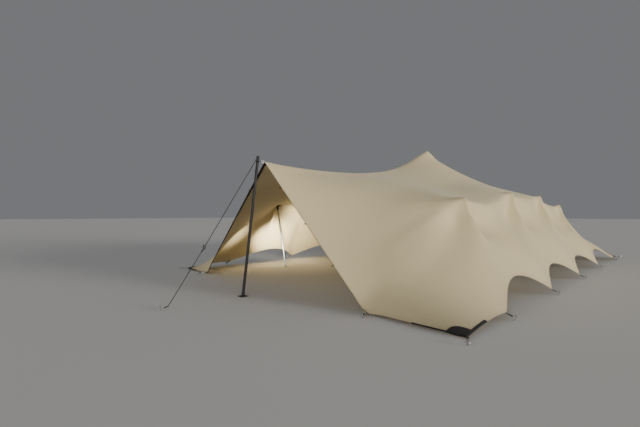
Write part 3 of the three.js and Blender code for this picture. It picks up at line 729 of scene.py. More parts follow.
def balanced_net():
    """The height of each free point is the mean of its four neighbours, weighed by the pull in
    the cords between them: one set of linear equations, solved whole."""
    net = np.concatenate([half_plan(1), half_plan(-1)[-2::-1] * np.array([-1, 1, 1])])
    row = np.arange(ROWS + 1.0)[:, None]
    column = np.arange(COLUMNS + 1.0)[None, :]
    ridge = ridge_line(np.arange(COLUMNS + 1.0))
    on_ridge = (column[0] > 0) & (ridge[:, 1] < REAR_HELD)
    net[RIDGE_ROW, on_ridge] = ridge[on_ridge]
    held = (row % ROWS == 0) | (column % COLUMNS == 0)
    held[RIDGE_ROW, on_ridge] = True
    level = np.minimum(row, ROWS - row)
    inside = 1 / (1 + np.exp(-(level / POLE_ROW - SKIRT_TOP) / SKIRT_BLEND))
    pull = (1 + (INNER_PULL - 1) * inside) * np.where(level == POLE_ROW - 1, SHOULDER_PULL, 1)
    from_ridge = (row - RIDGE_ROW) / (RIDGE_ROW - POLE_ROW)
    pull = pull + 0 * column + RIDGE_PULL * bell(from_ridge / RIDGE_WIDTH)
    plan = net[..., :2]
    pull += KING_PULL * np.exp(-length(plan) / KING_SPREAD)
    for n, head in enumerate(SIDE_HEADS):
        for hand, _ in HANDS:
            gap = length(plan - head[:2] * np.array([hand, 1]))
            pull += SIDE_PULL * np.exp(-gap / SIDE_SPREAD)
            net[row_on(hand, POLE_ROW), POLE_COLUMNS[n]] = head * np.array([hand, 1, 1])
            held[row_on(hand, POLE_ROW), POLE_COLUMNS[n]] = True
    held[RIDGE_ROW, KING_COLUMN] = True
    share = np.where(level < POLE_ROW, SKIRT_LINE_PULL, 1.0)
    share = np.where(level == POLE_ROW, POLE_LINE_PULL, share)
    number = np.arange(net.shape[0] * net.shape[1]).reshape(net.shape[:2])
    balance = np.zeros((number.size, number.size))
    cords = (
        (number[:-1], number[1:], pull[:-1] + pull[1:]),
        (number[:, :-1], number[:, 1:], share * (pull[:, :-1] + pull[:, 1:])),
    )
    for a, b, cord in cords:
        for one, two in ((a, b), (b, a)):
            np.add.at(balance, (one.ravel(), one.ravel()), cord.ravel())
            np.add.at(balance, (one.ravel(), two.ravel()), -cord.ravel())
    fixed = held.ravel()
    z = net[..., 2].ravel().copy()
    known = -balance[np.ix_(~fixed, fixed)] @ z[fixed]
    z[~fixed] = np.linalg.solve(balance[np.ix_(~fixed, ~fixed)], known)
    net[..., 2] = z.reshape(net.shape[:2])
    return net


NET = balanced_net()


def spline_weights(t, count):
    """How much each of the evenly spaced values counts at t, for a cubic through all of them.
    Past an end the values run on straight."""
    k = np.clip(np.floor(t).astype(int), 0, count - 2)
    f = t - k
    share = [-(f**3) + 2 * f**2 - f, 3 * f**3 - 5 * f**2 + 2, -3 * f**3 + 4 * f**2 + f, f**3 - f**2]
    weights = np.zeros((len(t), count + 2))
    weights[np.arange(len(t))[:, None], k[:, None] + np.arange(4)] = np.stack(share, -1) / 2
    weights[:, 1] += 2 * weights[:, 0]
    weights[:, 2] -= weights[:, 0]
    weights[:, -2] += 2 * weights[:, -1]
    weights[:, -3] -= weights[:, -1]
    return weights[:, 1:-1]


def fade(distance, reach):
    """1 at the edge and 0 from reach on, flattening out."""
    return (np.clip(1 - distance / reach, 0, 1) ** 2)[:, None]


def row_weights(r, c, from_side):
    """Spline weights across the sheet, averaged over the rows beside the line of the poles ahead
    of the first head, where the sheet rounds over without a crease."""
    near = bell((from_side - POLE_ROW) / SOFT_SPAN)
    near = near * smooth(*SOFT_START, c) * (1 - smooth(*SOFT_END, c))
    total = sum(share for _, share in SOFT_TAPS)
    return sum(n * spline_weights(r + SOFT_ROWS * at * near, ROWS + 1) for at, n in SOFT_TAPS) / total


def head_forms(points, from_side, column, hand):
    """What to add to the sheet about its heads, hand being the side of x. With t the way down
    the wall, 0 at the line of the poles and 1 at the ground, and g the way to the nearest head
    along y, the wall falls back beside each crest by depth * exp(-((t - at) / span) ** 2) *
    (g / w) * exp(1 - g / w), w = near + spread * t. About a head the sheet dips by drop *
    (1 - exp(-r / near)) * (1 - r / reach) ** 2. Bells in rows and columns lift the roof between
    the heads and behind them, fill out the front part, and let down the ridge's rear end."""
    t = 1 - from_side / POLE_ROW
    x, y = points[:, 0] * hand, points[:, 1]
    gaps = y[:, None] - SIDE_HEADS[:, 1]
    gap = np.abs(gaps).min(1) / np.clip(NOSE_NEAR + NOSE_SPREAD * t, NOSE_LEAST, None)
    gap = np.hypot(gap, NOSE_ROUND) - NOSE_ROUND
    back = NOSE_DEPTH * bell((t - NOSE_AT) / NOSE_SPAN) * gap * np.exp(1 - gap)
    moved = -back[:, None] * WALL_OUT * np.stack([hand, 1 + 0 * hand, 1 + 0 * hand], -1)
    between = np.clip(gaps[:, :-1] / SIDE_POLE_PITCH, 0, 1)
    lift = np.sin(np.pi * between**LIFT_SKEW) @ np.array(ROOF_LIFTS)
    moved[:, 2] += lift * bell((from_side - LIFT_ROW) / LIFT_SPAN)
    past = column - REAR_SOFT_COLUMN
    past = past / np.where(past < 0, *REAR_SOFT_SPANS)
    moved[:, 2] -= REAR_SOFT * bell(past) * bell((RIDGE_ROW - from_side) / REAR_SOFT_ROWS)
    drawn_right = np.stack([x, y, points[:, 2]], -1)
    clear = 1 - np.exp(-length(drawn_right[:, None] - SIDE_HEADS) / CLEAR_REACH)
    from_front = 1 - fade(column, FULL_START)[:, 0]
    full = bell((from_side - FULL_ROW) / FULL_SPAN) * from_front * (1 - smooth(*FULL_END, column))
    moved[:, 2] += FULLNESS * full * clear[:, 0]
    over = np.sin(np.pi * np.clip((from_side - POLE_ROW) / (RIDGE_ROW - POLE_ROW), 0, 1)) ** 2
    moved[:, 2] += SAG_FILL * over * from_front * (1 - smooth(*SAG_END, column))
    at_head = bell(gaps / FILL_WIDTH) * clear
    moved[:, 2] += at_head @ np.array(ROOF_FILLS) * bell((from_side - FILL_ROW) / FILL_SPAN)
    on_roof = np.clip(1 - t / DIP_END, 0, 1)
    dips = [(head, HEAD_DIP) for head in SIDE_HEADS] + [(np.zeros(3), KING_DIP)]
    for head, (drop, near, reach) in dips:
        away = np.hypot(x - head[0], y - head[1])
        dip = drop * (1 - np.exp(-away / near)) * np.clip(1 - away / reach, 0, 1) ** 2
        moved[:, 2] -= dip * on_roof
    return moved


def sheet_points(row, column):
    """The sheet at net places: a smooth surface through the net, drawn onto its true edge lines
    and ridge line, whose corners the cubic would round off."""
    row, column = np.broadcast_arrays(np.asarray(row, float), np.asarray(column, float))
    shape = row.shape
    r, c = row.ravel(), column.ravel()
    from_side = np.minimum(r, ROWS - r)
    across, along = row_weights(r, c, from_side), spline_weights(c, COLUMNS + 1)
    lines = (across @ NET.reshape(ROWS + 1, -1)).reshape(len(r), COLUMNS + 1, 3)
    points = np.einsum("kjd,kj->kd", lines, along)
    hand = np.where(r <= RIDGE_ROW, 1.0, -1.0)[:, None] * np.array([1, 0, 0]) + np.array([0, 1, 1])
    inside_c, inside_r = np.clip(c, 0, COLUMNS), np.clip(from_side, 0, RIDGE_ROW)
    points += (side_edge(inside_c) - along @ NET[0]) * hand * fade(from_side, EDGE_BLEND)
    half = spline_weights(inside_r, ROWS + 1)
    points += (rear_edge(inside_r) - half @ NET[:, COLUMNS]) * hand * fade(COLUMNS - c, EDGE_BLEND)
    near_tip = smooth(*TIP_ROWS, inside_r)[:, None] * fade(c, TIP_BLEND)
    points += (front_edge(inside_r, hand[:, 0]) * hand - across @ NET[:, 0]) * near_tip
    ridge = ridge_line(inside_c)
    held = smooth(0, RIDGE_START, c) * (1 - smooth(RIDGE_EASE, REAR_HELD, ridge[:, 1]))
    lift = (ridge[:, 2] - (along @ NET[RIDGE_ROW])[:, 2]) * held
    points[:, 2] += lift * fade(np.abs(r - RIDGE_ROW), RIDGE_BLEND)[:, 0]
    points += head_forms(points, from_side, c, hand[:, 0])
    return points.reshape(*shape, 3)


def sheet_normals(row, column, step=0.04):
    """The upward normal: the cross of the ways along the sheet in its two directions."""
    row, column = np.broadcast_arrays(np.asarray(row, float), np.asarray(column, float))
    across = sheet_points(np.maximum(row - step, 0), column)
    across = across - sheet_points(np.minimum(row + step, ROWS), column)
    along = sheet_points(row, np.minimum(column + step, COLUMNS))
    along = along - sheet_points(row, np.maximum(column - step, 0))
    return unit(np.cross(across, along))


def hem_shift(row):
    """How far past the net the sheet runs over the hem, between the toes and the tip."""
    return -HEM_REACH / FRONT_CELL * smooth(*HEM_START, np.minimum(row, ROWS - row))


def skin(low, high, weave):
    """A closed thin body between a lower and an upper grid: the upper one, then the lower one
    turned over, joined all round."""
    shape = Shape()
    both = np.concatenate([high.reshape(-1, 3), low.reshape(-1, 3)])
    number = np.arange(len(both) // 2).reshape(low.shape[:2])
    top = np.stack([number[:-1, :-1], number[:-1, 1:], number[1:, 1:], number[1:, :-1]], -1)
    top = top.reshape(-1, 4)
    rim = np.concatenate([number[0, :-1], number[:-1, -1], number[-1, :0:-1], number[:0:-1, 0]])
    beyond = np.roll(rim, -1)
    wall = np.stack([beyond, rim, rim + number.size, beyond + number.size], -1)
    faces = np.concatenate([top, top[:, ::-1] + number.size, wall])
    laid = np.concatenate([weave.reshape(-1, 2)] * 2)
    shape.points.append(both)
    shape.faces += faces.tolist()
    shape.weave.append(laid[faces.ravel()])
    return shape


def on_sheet(row, column, low, high, weave=None):
    """A thin body that follows the sheet between two distances from its middle."""
    row, column = np.broadcast_arrays(row, column)
    points, normals = sheet_points(row, column), sheet_normals(row, column)
    if weave is None:
        a = np.cumsum(length(np.diff(points, axis=0, prepend=points[:1])), 0)
        b = np.cumsum(length(np.diff(points, axis=1, prepend=points[:, :1])), 1)
        weave = np.stack([b, a], -1)
    lift = [np.broadcast_to(h, row.shape)[..., None] for h in (low, high)]
    return skin(points + normals * lift[0], points + normals * lift[1], weave)


def steps_along(points):
    """The length of the way from the first point to each."""
    return np.concatenate([[0], np.cumsum(length(np.diff(points, axis=0)))])


def grid_lines(count, rim, heads):
    """Evenly spaced lines of the net, with more of them in the hem and beside the heads."""
    even = np.linspace(0, count, count * FINE + 1)
    return np.unique(np.concatenate([even, rim, count - rim, *[n + NEAR_HEAD for n in heads]]))


def build_canopy():
    """The sheet's middle surface with half its thickness to each side, thicker in the hem, which
    is as far from the edge as a cell's length times the place in it."""
    rows = grid_lines(ROWS, RIM_ROWS, (POLE_ROW, RIDGE_ROW, ROWS - POLE_ROW))
    columns = grid_lines(COLUMNS, RIM_COLUMNS, (*POLE_COLUMNS, KING_COLUMN))
    row, column = np.meshgrid(rows, columns, indexing="ij")
    shifted = column + hem_shift(row) * np.clip(1 - column, 0, 1) ** 2
    side_way, end_way = sheet_points(0, columns), sheet_points(rows, 0)
    side_step = length(sheet_points(1, columns) - side_way)
    front_step = length(sheet_points(rows, 1) - end_way)[:, None]
    rear_step = length(sheet_points(rows, COLUMNS) - sheet_points(rows, COLUMNS - 1))[:, None]
    from_side = np.minimum(row, ROWS - row) * side_step
    from_end = np.minimum((column - hem_shift(row)) * front_step, (COLUMNS - column) * rear_step)
    edge = np.minimum(from_side, from_end)
    along = np.where(from_side < from_end, steps_along(side_way), steps_along(end_way)[:, None])
    thick = mix(HEM_CLOTH, CLOTH, smooth(HEM_BAND - HEM_STEP, HEM_BAND, edge)) / 2
    weave = np.stack([row * FLAT_WIDTH / ROWS, column * FLAT_LENGTH / COLUMNS], -1)
    strips = [f"canopy_strip_{n}" for n in range(1, 8)]
    sheet = make("canopy", on_sheet(row, shifted, -thick, thick, weave), FABRIC, strips, 60)
    for name, values in (("edge", edge), ("along", along)):
        layer = sheet.data.attributes.new(name, "FLOAT", "POINT")
        layer.data.foreach_set("value", np.concatenate([values.ravel()] * 2).astype(np.float32))
    return sheet


canopy = build_canopy()

# Webbing on the sheet, gathered in one list
tapes = []


def square_to(way, other):
    """The part of one vector that is square to a way."""
    return unit(other - way * np.sum(other * way, -1, keepdims=True))


def edge_frame(rows):
    """Along the front edge: its points, the way inward over the sheet, and the sheet's normal."""
    points = sheet_points(rows, hem_shift(rows))
    way = unit(np.gradient(points, axis=0))
    normal = square_to(way, sheet_normals(rows, 0.06))
    inward = np.cross(normal, way)
    towards = sheet_points(rows, 0.6) - points
    inward *= np.sign(np.sum(inward * towards, -1, keepdims=True))
    return points, inward, normal


def front_hem(word, rows):
    """Webbing round a bead, carried along the edge: x runs inward, y along the normal."""
    points, inward, normal = edge_frame(rows)
    angle = np.radians(np.linspace(*BEAD_TURN, 13))
    bead = np.stack([BEAD_IN + BEAD * np.cos(angle), BEAD_UNDER + BEAD * np.sin(angle)], -1)
    outline = np.concatenate([bead, HEM_TAPE])
    shape = Shape().carry(points, outline, inward, normal)
    return make(f"front_webbing_{word}", shape, WEBBING, [f"front_hem_{word}"])


for hand, word in HANDS:
    reach = np.linspace(row_on(hand, TOE_ROW - 0.1), row_on(hand, RIDGE_ROW - 0.02), 121)
    tapes.append(front_hem(word, reach))


def hem_loop(word, row):
    """A folded tab under the hem with a ring that stands out past the edge."""
    points, inward, normal = edge_frame(row + LOOP_SPAN * np.array([-1, 0, 1]))
    point, inward, normal = points[1], inward[1], normal[1]
    run = np.linspace(LOOP_IN, -LOOP_REACH, 7)[:, None]
    under = point - normal * LOOP_UNDER
    shape = Shape().sweep(under + inward * run, oblong(LOOP_HALF, LOOP_THICK / 2), normal)
    make(f"hem_tab_{word}", shape, WEBBING)
    centre = under - inward * (LOOP_REACH + LOOP_OUT)
    make(f"hem_ring_{word}", Shape().ring(centre, normal, LOOP_HALF, LOOP_WIRE, 32, 8), WEBBING)


for hand, word in HANDS:
    for n, row in enumerate(LOOP_ROWS, 1):
        hem_loop(f"{word}_{n}", row_on(hand, row))


def corner_patch(end, hand):
    """A moon on the corner of the sheet: rows and columns out to |cos| ** 3 + |sin| ** 3 = 1
    round the corner, with a raised rim of folded webbing."""
    turn = np.linspace(0, TURN / 4, 33)[:, None]
    out = np.linspace(0.02, 1, 13)[None]
    round_out = out * (np.cos(turn) ** 3 + np.sin(turn) ** 3) ** (-1 / 3)
    row = row_on(hand, np.cos(turn) * round_out * MOON_ROWS)
    column = column_on(end, np.sin(turn) * round_out * MOON_COLUMNS)
    rim = MOON_RIM * smooth(*RIM_RISE, out) * (1 - smooth(*RIM_FALL, out))
    shape = on_sheet(row, column, TAPE_FACE, TAPE_FACE + TAPE + rim)
    name = corner_name(end, hand)
    return make(f"corner_moon_{name}", shape, WEBBING, [f"corner_patch_{name}"])


def ground_strap(end, hand):
    """Webbing from the corner along both ground edges, folded over the cut edge: it lies on the
    sheet as far as inside, and hangs below it, deepest under the moon by a lip of 4 * t * (1 - t)."""
    made = []
    for way, reach, inside, hang, lip in STRAPS:
        run = np.linspace(0.03, reach, 41)
        t = np.clip(run / MOON_ROWS, 0, 1)
        low = -(hang + lip * 4 * t * (1 - t))
        row, column = (0 * run, run) if way == "side" else (run, 0 * run)
        row, column = row_on(hand, row), column_on(end, column)
        edge = sheet_points(row, column)
        inner = sheet_points(np.clip(row, 0.4, ROWS - 0.4), np.clip(column, 0.3, COLUMNS - 0.3))
        path = unit(np.gradient(edge, axis=0))
        inward = square_to(path, inner - edge)
        normal = unit(np.cross(path, inward))
        normal *= np.sign(normal[:, 2:])
        across = np.array([inside, *STRAP_IN, inside]) + 0 * run[:, None]
        top, face = TAPE_FACE + STRAP_FOLD, TAPE_FACE
        up = np.array([top, top, 0, 0, face, face]) + np.array([0, 0, 1, 1, 0, 0]) * low[:, None]
        shape = Shape().carry(edge, np.stack([across, up], -1), inward, normal)
        made.append(make(f"corner_strap_{way}_{corner_name(end, hand)}", shape, WEBBING))
    return made


tapes += [corner_patch(*corner) for corner in CORNERS]
for corner in CORNERS:
    tapes += ground_strap(*corner)


# Poles


def around(row, column, hand, radius, turn):
    """Net places at a distance from a net point, by the length of the cells beside it."""
    inward, along = np.cos(turn) * radius, np.sin(turn) * radius
    beside = [(row + hand, column), (row - hand, column), (row, column + 1), (row, column - 1)]
    inner, outer, after, before = [length(NET[place] - NET[row, column]) for place in beside]
    rows = inward / np.where(inward > 0, inner, outer)
    columns = along / np.where(along > 0, after, before)
    return row + hand * rows, column + columns


def pole_patch(name, row, column, hand, radius):
    """A round patch of webbing under the sheet where a pole head bears on it."""
    turn = np.linspace(0, TURN, 49)[:, None]
    out = radius * np.linspace(0.03, 1, 9)[None]
    shape = on_sheet(*around(row, column, hand, out, turn), -PATCH_DROP - PATCH_THICK, -PATCH_DROP)
    return make(name, shape, WEBBING)


def bearing_head(row, column, hand, neck_at, neck, radius):
    """A crown that follows the underside of the sheet out to its rim and tapers to the neck."""
    turn = np.linspace(0, TURN, 40, endpoint=False)[None]
    drop = (PATCH_DROP + PATCH_THICK + CROWN_DROP)[:, None, None]
    places = around(row, column, hand, radius * CROWN_OUT[:, None], turn)
    crown = sheet_points(*places) - sheet_normals(*places) * drop
    spoke = np.stack([-hand * np.cos(turn[0]), np.sin(turn[0]), 0 * turn[0]], -1)
    taper = mix(crown[-1][None], neck_at + spoke * neck, NECK_SHARE[:, None, None])
    sleeve = neck_at - UP * NECK_LENGTH + spoke * neck
    return Shape().grid(np.concatenate([crown, taper, sleeve[None]]))


def foot_plate(shape, foot, size):
    """A square plate on the ground with a bolt head near each corner."""
    x, y = foot[:2]
    shape.slab((x, y, PLATE / 2), (size, size, PLATE), corner=PLATE_CORNER, chamfer=0.0012)
    for a in (-1, 1):
        for b in (-1, 1):
            shape.turned((x + a * size * BOLT_AT, y + b * size * BOLT_AT, PLATE), UP, BOLT, 20)


def tube_between(shape, a, b, radius, sides):
    """A round bar from a to b with its rims eased by a lip."""
    end, lip = length(b - a), min(0.002, radius * 0.1)
    rims = (radius - lip, 0), (radius, lip), (radius, end / 2), (radius, end - lip), (radius - lip, end)
    return shape.turned(a, b - a, rims, sides)


def pole(place, hand, foot, head, size, names, nodes):
    """Two tubes, one in the other, on a foot plate with a sleeve, clamped by a lever where they
    meet, under a head that bears on a patch in the sheet. The names and the nodes that they
    stand for are those of the tubes, the fittings and the head, and the patch's name is last."""
    way = unit(head - foot)
    joint, neck = foot + way * size["joint"], head - way * size["below"]
    sides = size["sides"]
    tubes = Shape()
    tube_between(tubes, foot + way * TUBE_FOOT, joint, size["radius"], sides)
    inner = size["radius"] - size["wall"]
    tube_between(tubes, joint - way * size["lap"], neck + way * size["top"], inner, sides)
    make(names[0], tubes, ALLOY, [nodes[0]])
    fittings = Shape()
    foot_plate(fittings, foot, size["plate"])
    fittings.turned(foot + way * size["sleeve at"], way, size["sleeve"], sides)
    fittings.turned(joint - way * size["clamp at"], way, size["clamp"], sides)
    fittings.slab(joint + np.array(size["lever at"]), size["lever"], corner=size["lever corner"])
    pin, pin_length = size["pin"], size["pin length"]
    fittings.turned(joint - BACK * pin_length / 2, BACK, [(pin, 0), (pin, pin_length)], 16)
    make(names[1], fittings, STEEL, [nodes[1]])
    crown = bearing_head(*place, hand, neck, size["neck"], size["crown"])
    make(names[2], crown, RUBBER, [nodes[2]])
    tapes.append(pole_patch(names[3], *place, hand, size["patch"]))


for hand, word in HANDS:
    for n in range(4):
        head = SIDE_HEADS[n] * np.array([hand, 1, 1])
        foot = np.array([head[0] - hand * SIDE_LEAN, head[1], 0.0])
        names = [f"pole_{part}{word}_{n + 1}" for part in ("", "fittings_", "head_", "patch_")]
        place = row_on(hand, POLE_ROW), POLE_COLUMNS[n]
        pole(place, hand, foot, head, SIDE_POLE, names, [f"side_pole_{word}_{n + 1}"] * 3)
king_names = ("king_tube", "king_fittings", "king_head", "king_patch")
king_nodes = ("king_pole", "king_pole_base", "king_pole_head")
pole((RIDGE_ROW, KING_COLUMN), 1, np.zeros(3), UP * KING_HEIGHT, KING_POLE, king_names, king_nodes)


# Mast, tip and guy

MAST_WAY = unit(MAST_TOP - MAST_FOOT)


def on_mast(height):
    """The point of the mast's axis at a height."""
    return mix(MAST_FOOT, MAST_TOP, height / MAST_TOP[2])


def mast():
    """A painted tube from its foot plate to its cap."""
    shape = Shape()
    tube_between(shape, on_mast(MAST_ENDS[0]), on_mast(MAST_ENDS[1]), MAST_RADIUS, 48)
    make("mast_tube", shape, PAINT, ["mast"])
    shape = Shape()
    foot_plate(shape, MAST_FOOT, MAST_PLATE)
    shape.turned(on_mast(MAST_SLEEVE_AT), MAST_WAY, MAST_SLEEVE, 40)
    make("mast_foot_fitting", shape, PAINT, ["mast_base"])
    cap = Shape().turned(on_mast(MAST_CAP_AT), MAST_WAY, MAST_CAP, 40)
    make("mast_top_cap", cap, RUBBER, ["mast_cap"])


mast()


def tip_fittings():
    """A ring in the tip of the sheet, a doubled strap from it to a band round the mast, turns of
    lashing below, and a patch of webbing under the tip: rows and columns within a half circle."""
    tip = sheet_points(RIDGE_ROW, hem_shift(RIDGE_ROW))
    ring_at = tip - BACK * TIP_RING_OUT
    make("tip_ring", Shape().ring(ring_at, (1, 0, 0.0), TIP_RING, TIP_RING_WIRE), STEEL)
    hold = on_mast(TIP_HEIGHT - BAND_UNDER_TIP)
    angle = np.linspace(0, TURN, 41)[:, None]
    band = (MAST_RADIUS + BAND_OUT) * np.concatenate([np.sin(angle), np.cos(angle), 0 * angle], -1)
    shape = Shape().sweep(hold + band, oblong(BAND_THICK / 2, STRAP_WIDTH / 2))
    near, far = ring_at - BACK * TIP_STRAP_FROM, hold + BACK * (MAST_RADIUS + TIP_STRAP_TO)
    for side in (-0.5, 0.5):
        path = line(near, far, 9) + UP * TIP_STRAP_APART * side
        shape.sweep(path, oblong(STRAP_WIDTH / 2, STRAP / 2))
    make("tip_strap", shape, WEBBING, ["tip_link"])
    shape = Shape()
    for n in range(LASH_TURNS):
        shape.ring(on_mast(LASH_AT + LASH_PITCH * n), MAST_WAY, MAST_RADIUS + LASH_OUT, LASH, 40, 8)
    make("mast_lashing", shape, ROPE)
    row = RIDGE_ROW + np.linspace(-TIP_PATCH_ROWS, TIP_PATCH_ROWS, 13)[:, None]
    square = np.clip(1 - ((row - RIDGE_ROW) / TIP_PATCH_WIDE) ** 2, TIP_PATCH_LEAST, 1)
    reach = TIP_PATCH_ROWS * np.sqrt(square)
    column = hem_shift(row) + (reach - hem_shift(row)) * np.linspace(0.03, 1, 10)[None]
    return make("tip_patch", on_sheet(row, column, -TAPE_FACE - TAPE, -TAPE_FACE), WEBBING)


tapes.append(tip_fittings())


def guy():
    """Four thin strands from the mast's head to a block, and one thicker rope to the stake."""
    high = on_mast(MAST_EYE_AT)
    way = unit(GUY_FOOT - high)
    eye = high - BACK * (MAST_RADIUS + EYE_OUT)
    block = mix(high, GUY_FOOT, BLOCK_AT)
    shape = Shape().ring(eye, (1, 0, 0), EYE_RING, EYE_WIRE, 28, 8)
    shape.turned(on_mast(MAST_BAND_AT), MAST_WAY, MAST_BAND, 40)
    make("guy_eye", shape, PAINT)
    shape = Shape()
    for side in (-1, 1):
        shape.slab(block + ACROSS * CHEEK_AT * side, CHEEK, corner=0.0014, chamfer=0.0006)
    shape.turned(block - ACROSS * SHEAVE_AT, ACROSS, SHEAVE, 28)
    make("guy_block", shape, PAINT)
    shape = Shape()
    for k in range(STRANDS):
        spread = ACROSS * STRAND_PITCH * (k - (STRANDS - 1) / 2)
        shape.tube(line(eye + way * STRAND_FROM + spread, block + spread, 40), STRAND, 8)
    make("guy_strands", shape, ROPE, ["guy_rope"])
    shape = Shape().tube(line(block + way * TAIL_FROM, GUY_FOOT, 40), TAIL, 12)
    for n in range(KNOT_TURNS):
        shape.ring(block + way * (KNOT_AT + KNOT_PITCH * n), way, KNOT, KNOT_ROPE, 28, 8)
    make("guy_tail", shape, ROPE, ["guy_rope"])


guy()


# Stakes and ties


def stake_shape(foot, out):
    """A driven bar with a collar and a struck, mushroomed head, leaning away from the tent."""
    lean = unit(out * STAKE_HEIGHT * STAKE_LEAN + UP * STAKE_HEIGHT)
    top = STAKE_HEIGHT * math.hypot(1, STAKE_LEAN)
    outline = [(STAKE_RADIUS, -0.006), *(STAKE_HEAD * (1, top))]
    return Shape().turned(foot, lean, outline, 28), foot + lean * RING_UP


def cut_at_ground(shape):
    """Nothing reaches below the ground: lower points are lifted to it."""
    shape.points = [np.where(np.arange(3) == 2, np.maximum(p, 0.0), p) for p in shape.points]
    return shape


def ratchet(name, middle, away):
    """Two cheeks along the strap, two axles through them and a handle over them."""
    side = unit(np.cross(away, UP))
    axes = np.array([away, side, np.cross(side, away)])
    shape = Shape()
    for place in RATCHET_CHEEKS:
        shape.slab(middle + place @ axes, CHEEK_SIZE, axes, corner=0.0014, chamfer=0.0005)
    for place in RATCHET_AXLES:
        shape.turned(middle + place @ axes, side, AXLE, 20)
    shape.slab(middle + RATCHET_HANDLE @ axes, HANDLE_SIZE, axes, corner=0.010, chamfer=0.0008)
    make(f"ratchet_{name}", cut_at_ground(shape), STEEL)


def tie(kind, word, place, inner, out):
    """A stake, a ring round it, and a doubled strap from the sheet to the ring. The strap starts
    under the sheet at an edge place of the net, towards an inner one."""
    distance, half, tab = TIES[kind]
    name, node = f"{kind}_{word}", f"{kind}_anchor_{word}"
    edge, inward, normal = sheet_points(*place), sheet_points(*inner), sheet_normals(*place)
    out = unit(np.array(out, float))
    shape, grip = stake_shape(edge * LEVEL + out * distance, out)
    away = unit(grip - edge)
    side = unit(np.cross(away, UP))
    lift = unit(np.cross(side, away))
    centre = grip - away * RING_BACK
    shape.ring(centre, lift, RING, RING_WIRE)
    make(f"stake_{name}", cut_at_ground(shape), STEEL, [node])
    along = unit(inward - edge)
    under = edge - normal * (half + STRAP_GAP)
    lip = under - along * STRAP_OVER
    hook = centre - away * RING
    outline = oblong(STRAP_WIDTH / 2, STRAP / 2)
    run = np.concatenate([line(under + along * tab, lip, 13)[:-1], line(lip, hook, 13)])
    shape = Shape().sweep(run, outline)
    loop = np.radians(np.linspace(-150, 150, 19))[:, None]
    shape.sweep(hook + away * FOLD * np.cos(loop) + lift * FOLD * np.sin(loop), outline)
    back = hook + lift * FOLD_LIFT
    shape.sweep(line(back - away * FOLD_FROM, back - away * FOLD_TO, 13), outline)
    make(f"tie_{name}", cut_at_ground(shape), WEBBING, [node])
    if kind == "toe":
        ratchet(name, mix(lip, hook, 0.5), away)


for hand, word in HANDS:
    edge_row, next_row, rear_row, toe_row = [row_on(hand, row) for row in (0, 1, REAR_ROWS[1], TOE_ROW)]
    for k, column in enumerate(FOOT_COLUMNS[1:-1], 1):
        tie("side", f"{word}_{k}", (edge_row, column), (next_row, column), (hand, 0, 0))
    tie("rear", word, (rear_row, COLUMNS), (rear_row, COLUMNS - 1), (0, 1, 0))
    for end, place in ENDS:
        away = hand * CORNER_AWAY[0], end * CORNER_AWAY[1], 0
        inner = next_row, column_on(end, 1)
        tie("corner", f"{place}_{word}", (edge_row, column_on(end, 0)), inner, away)
    tie("toe", word, (toe_row, 0), (toe_row, 1), (hand * TOE_AWAY[0], TOE_AWAY[1], 0))

shape, grip = stake_shape(GUY_FOOT * LEVEL + GUY_OUT * GUY_REACH, GUY_OUT)
shape.ring(grip - GUY_OUT * RING_BACK, (0, STAKE_LEAN, 1), RING, RING_WIRE)
make("stake_guy", cut_at_ground(shape), STEEL, ["guy_anchor"])
hook = grip - GUY_OUT * (RING + GUY_TIE_PAST)
guy_tie = Shape().sweep(line(GUY_FOOT, hook, 9), oblong(*GUY_TIE))
make("tie_guy", guy_tie, WEBBING, ["guy_anchor"])

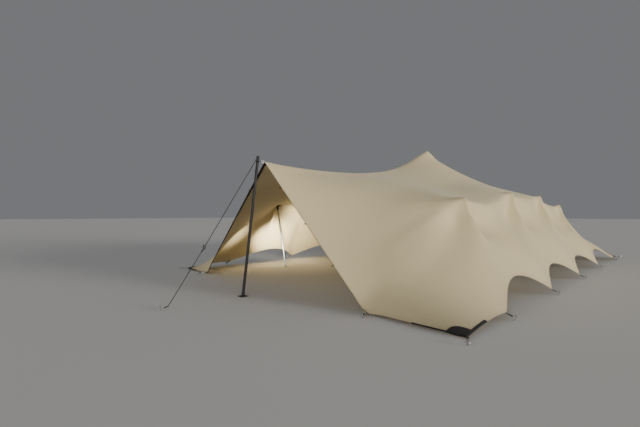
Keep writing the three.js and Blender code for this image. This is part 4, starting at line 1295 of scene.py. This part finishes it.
# Stage and light
FLOOR_REACH, FLOOR_DROP = 160.0, 0.002
WARM, COOL, LAMPLIGHT = (1.0, 0.96, 0.90), (0.94, 0.97, 1.0), (1.0, 0.90, 0.74)
SKY, SKY_STRENGTH = (0.82, 0.84, 0.88, 1), 0.22
LAMP_SIZE = 0.15


def floor():
    """A pale square round the tent, just under it."""
    data = bpy.data.meshes.new("floor")
    corners = [(x, y, -FLOOR_DROP) for x, y in oblong(FLOOR_REACH, FLOOR_REACH)]
    data.from_pydata(corners, [], [(0, 1, 2, 3)])
    pale = Finish("pale_floor", {"Base Color": PALE_FLOOR, "Roughness": 0.9, "Specular IOR Level": 0.1})
    data.materials.append(pale.material)
    thing = put("floor", data)


floor()


def light(name, kind, energy, colour, source):
    """A light that shines from the way of its source."""
    data = bpy.data.lights.new(name, kind)
    data.energy = energy
    data.color = colour
    thing = put(name, data)
    aim(thing, source)
    return thing


def sun(name, azimuth, height, strength, softness, colour):
    """A distant light from a compass direction, 0 from -Y and 90 from +X, and a height."""
    a, h = math.radians(azimuth), math.radians(height)
    source = math.sin(a) * math.cos(h), -math.cos(a) * math.cos(h), math.sin(h)
    light(name, "SUN", strength, colour, source).data.angle = math.radians(softness)


sun("key", 110, 3, 4.4, 22, WARM)
sun("low_front", 30, 2, 2.4, 16, WARM)
sun("fill", -10, 35, 0.20, 60, COOL)


def lamp(name, at, target, cone, energy):
    """A soft lamp with a cone in degrees that fades out to its rim."""
    thing = light(name, "SPOT", energy, LAMPLIGHT, Vector(at) - Vector(target))
    thing.data.spot_size = math.radians(cone)
    thing.data.spot_blend = 1.0
    thing.data.shadow_soft_size = LAMP_SIZE
    thing.location = at
    thing.visible_camera = False


lamp("inside", (-1.2, -3.4, 0.6), (-3.4, -2.6, 1.2), 70, 700)
lamp("inside_near", (-1.6, -4.7, 0.5), (-3.5, -3.7, 0.85), 42, 1300)
lamp("inside_front", (-1.2, -4.7, 0.5), (-3.1, -5.2, 1.0), 30, 420)

world = bpy.data.worlds.new("studio")
world.use_nodes = True
world.node_tree.nodes["Background"].inputs["Color"].default_value = SKY
world.node_tree.nodes["Background"].inputs["Strength"].default_value = SKY_STRENGTH
bpy.context.scene.world = world
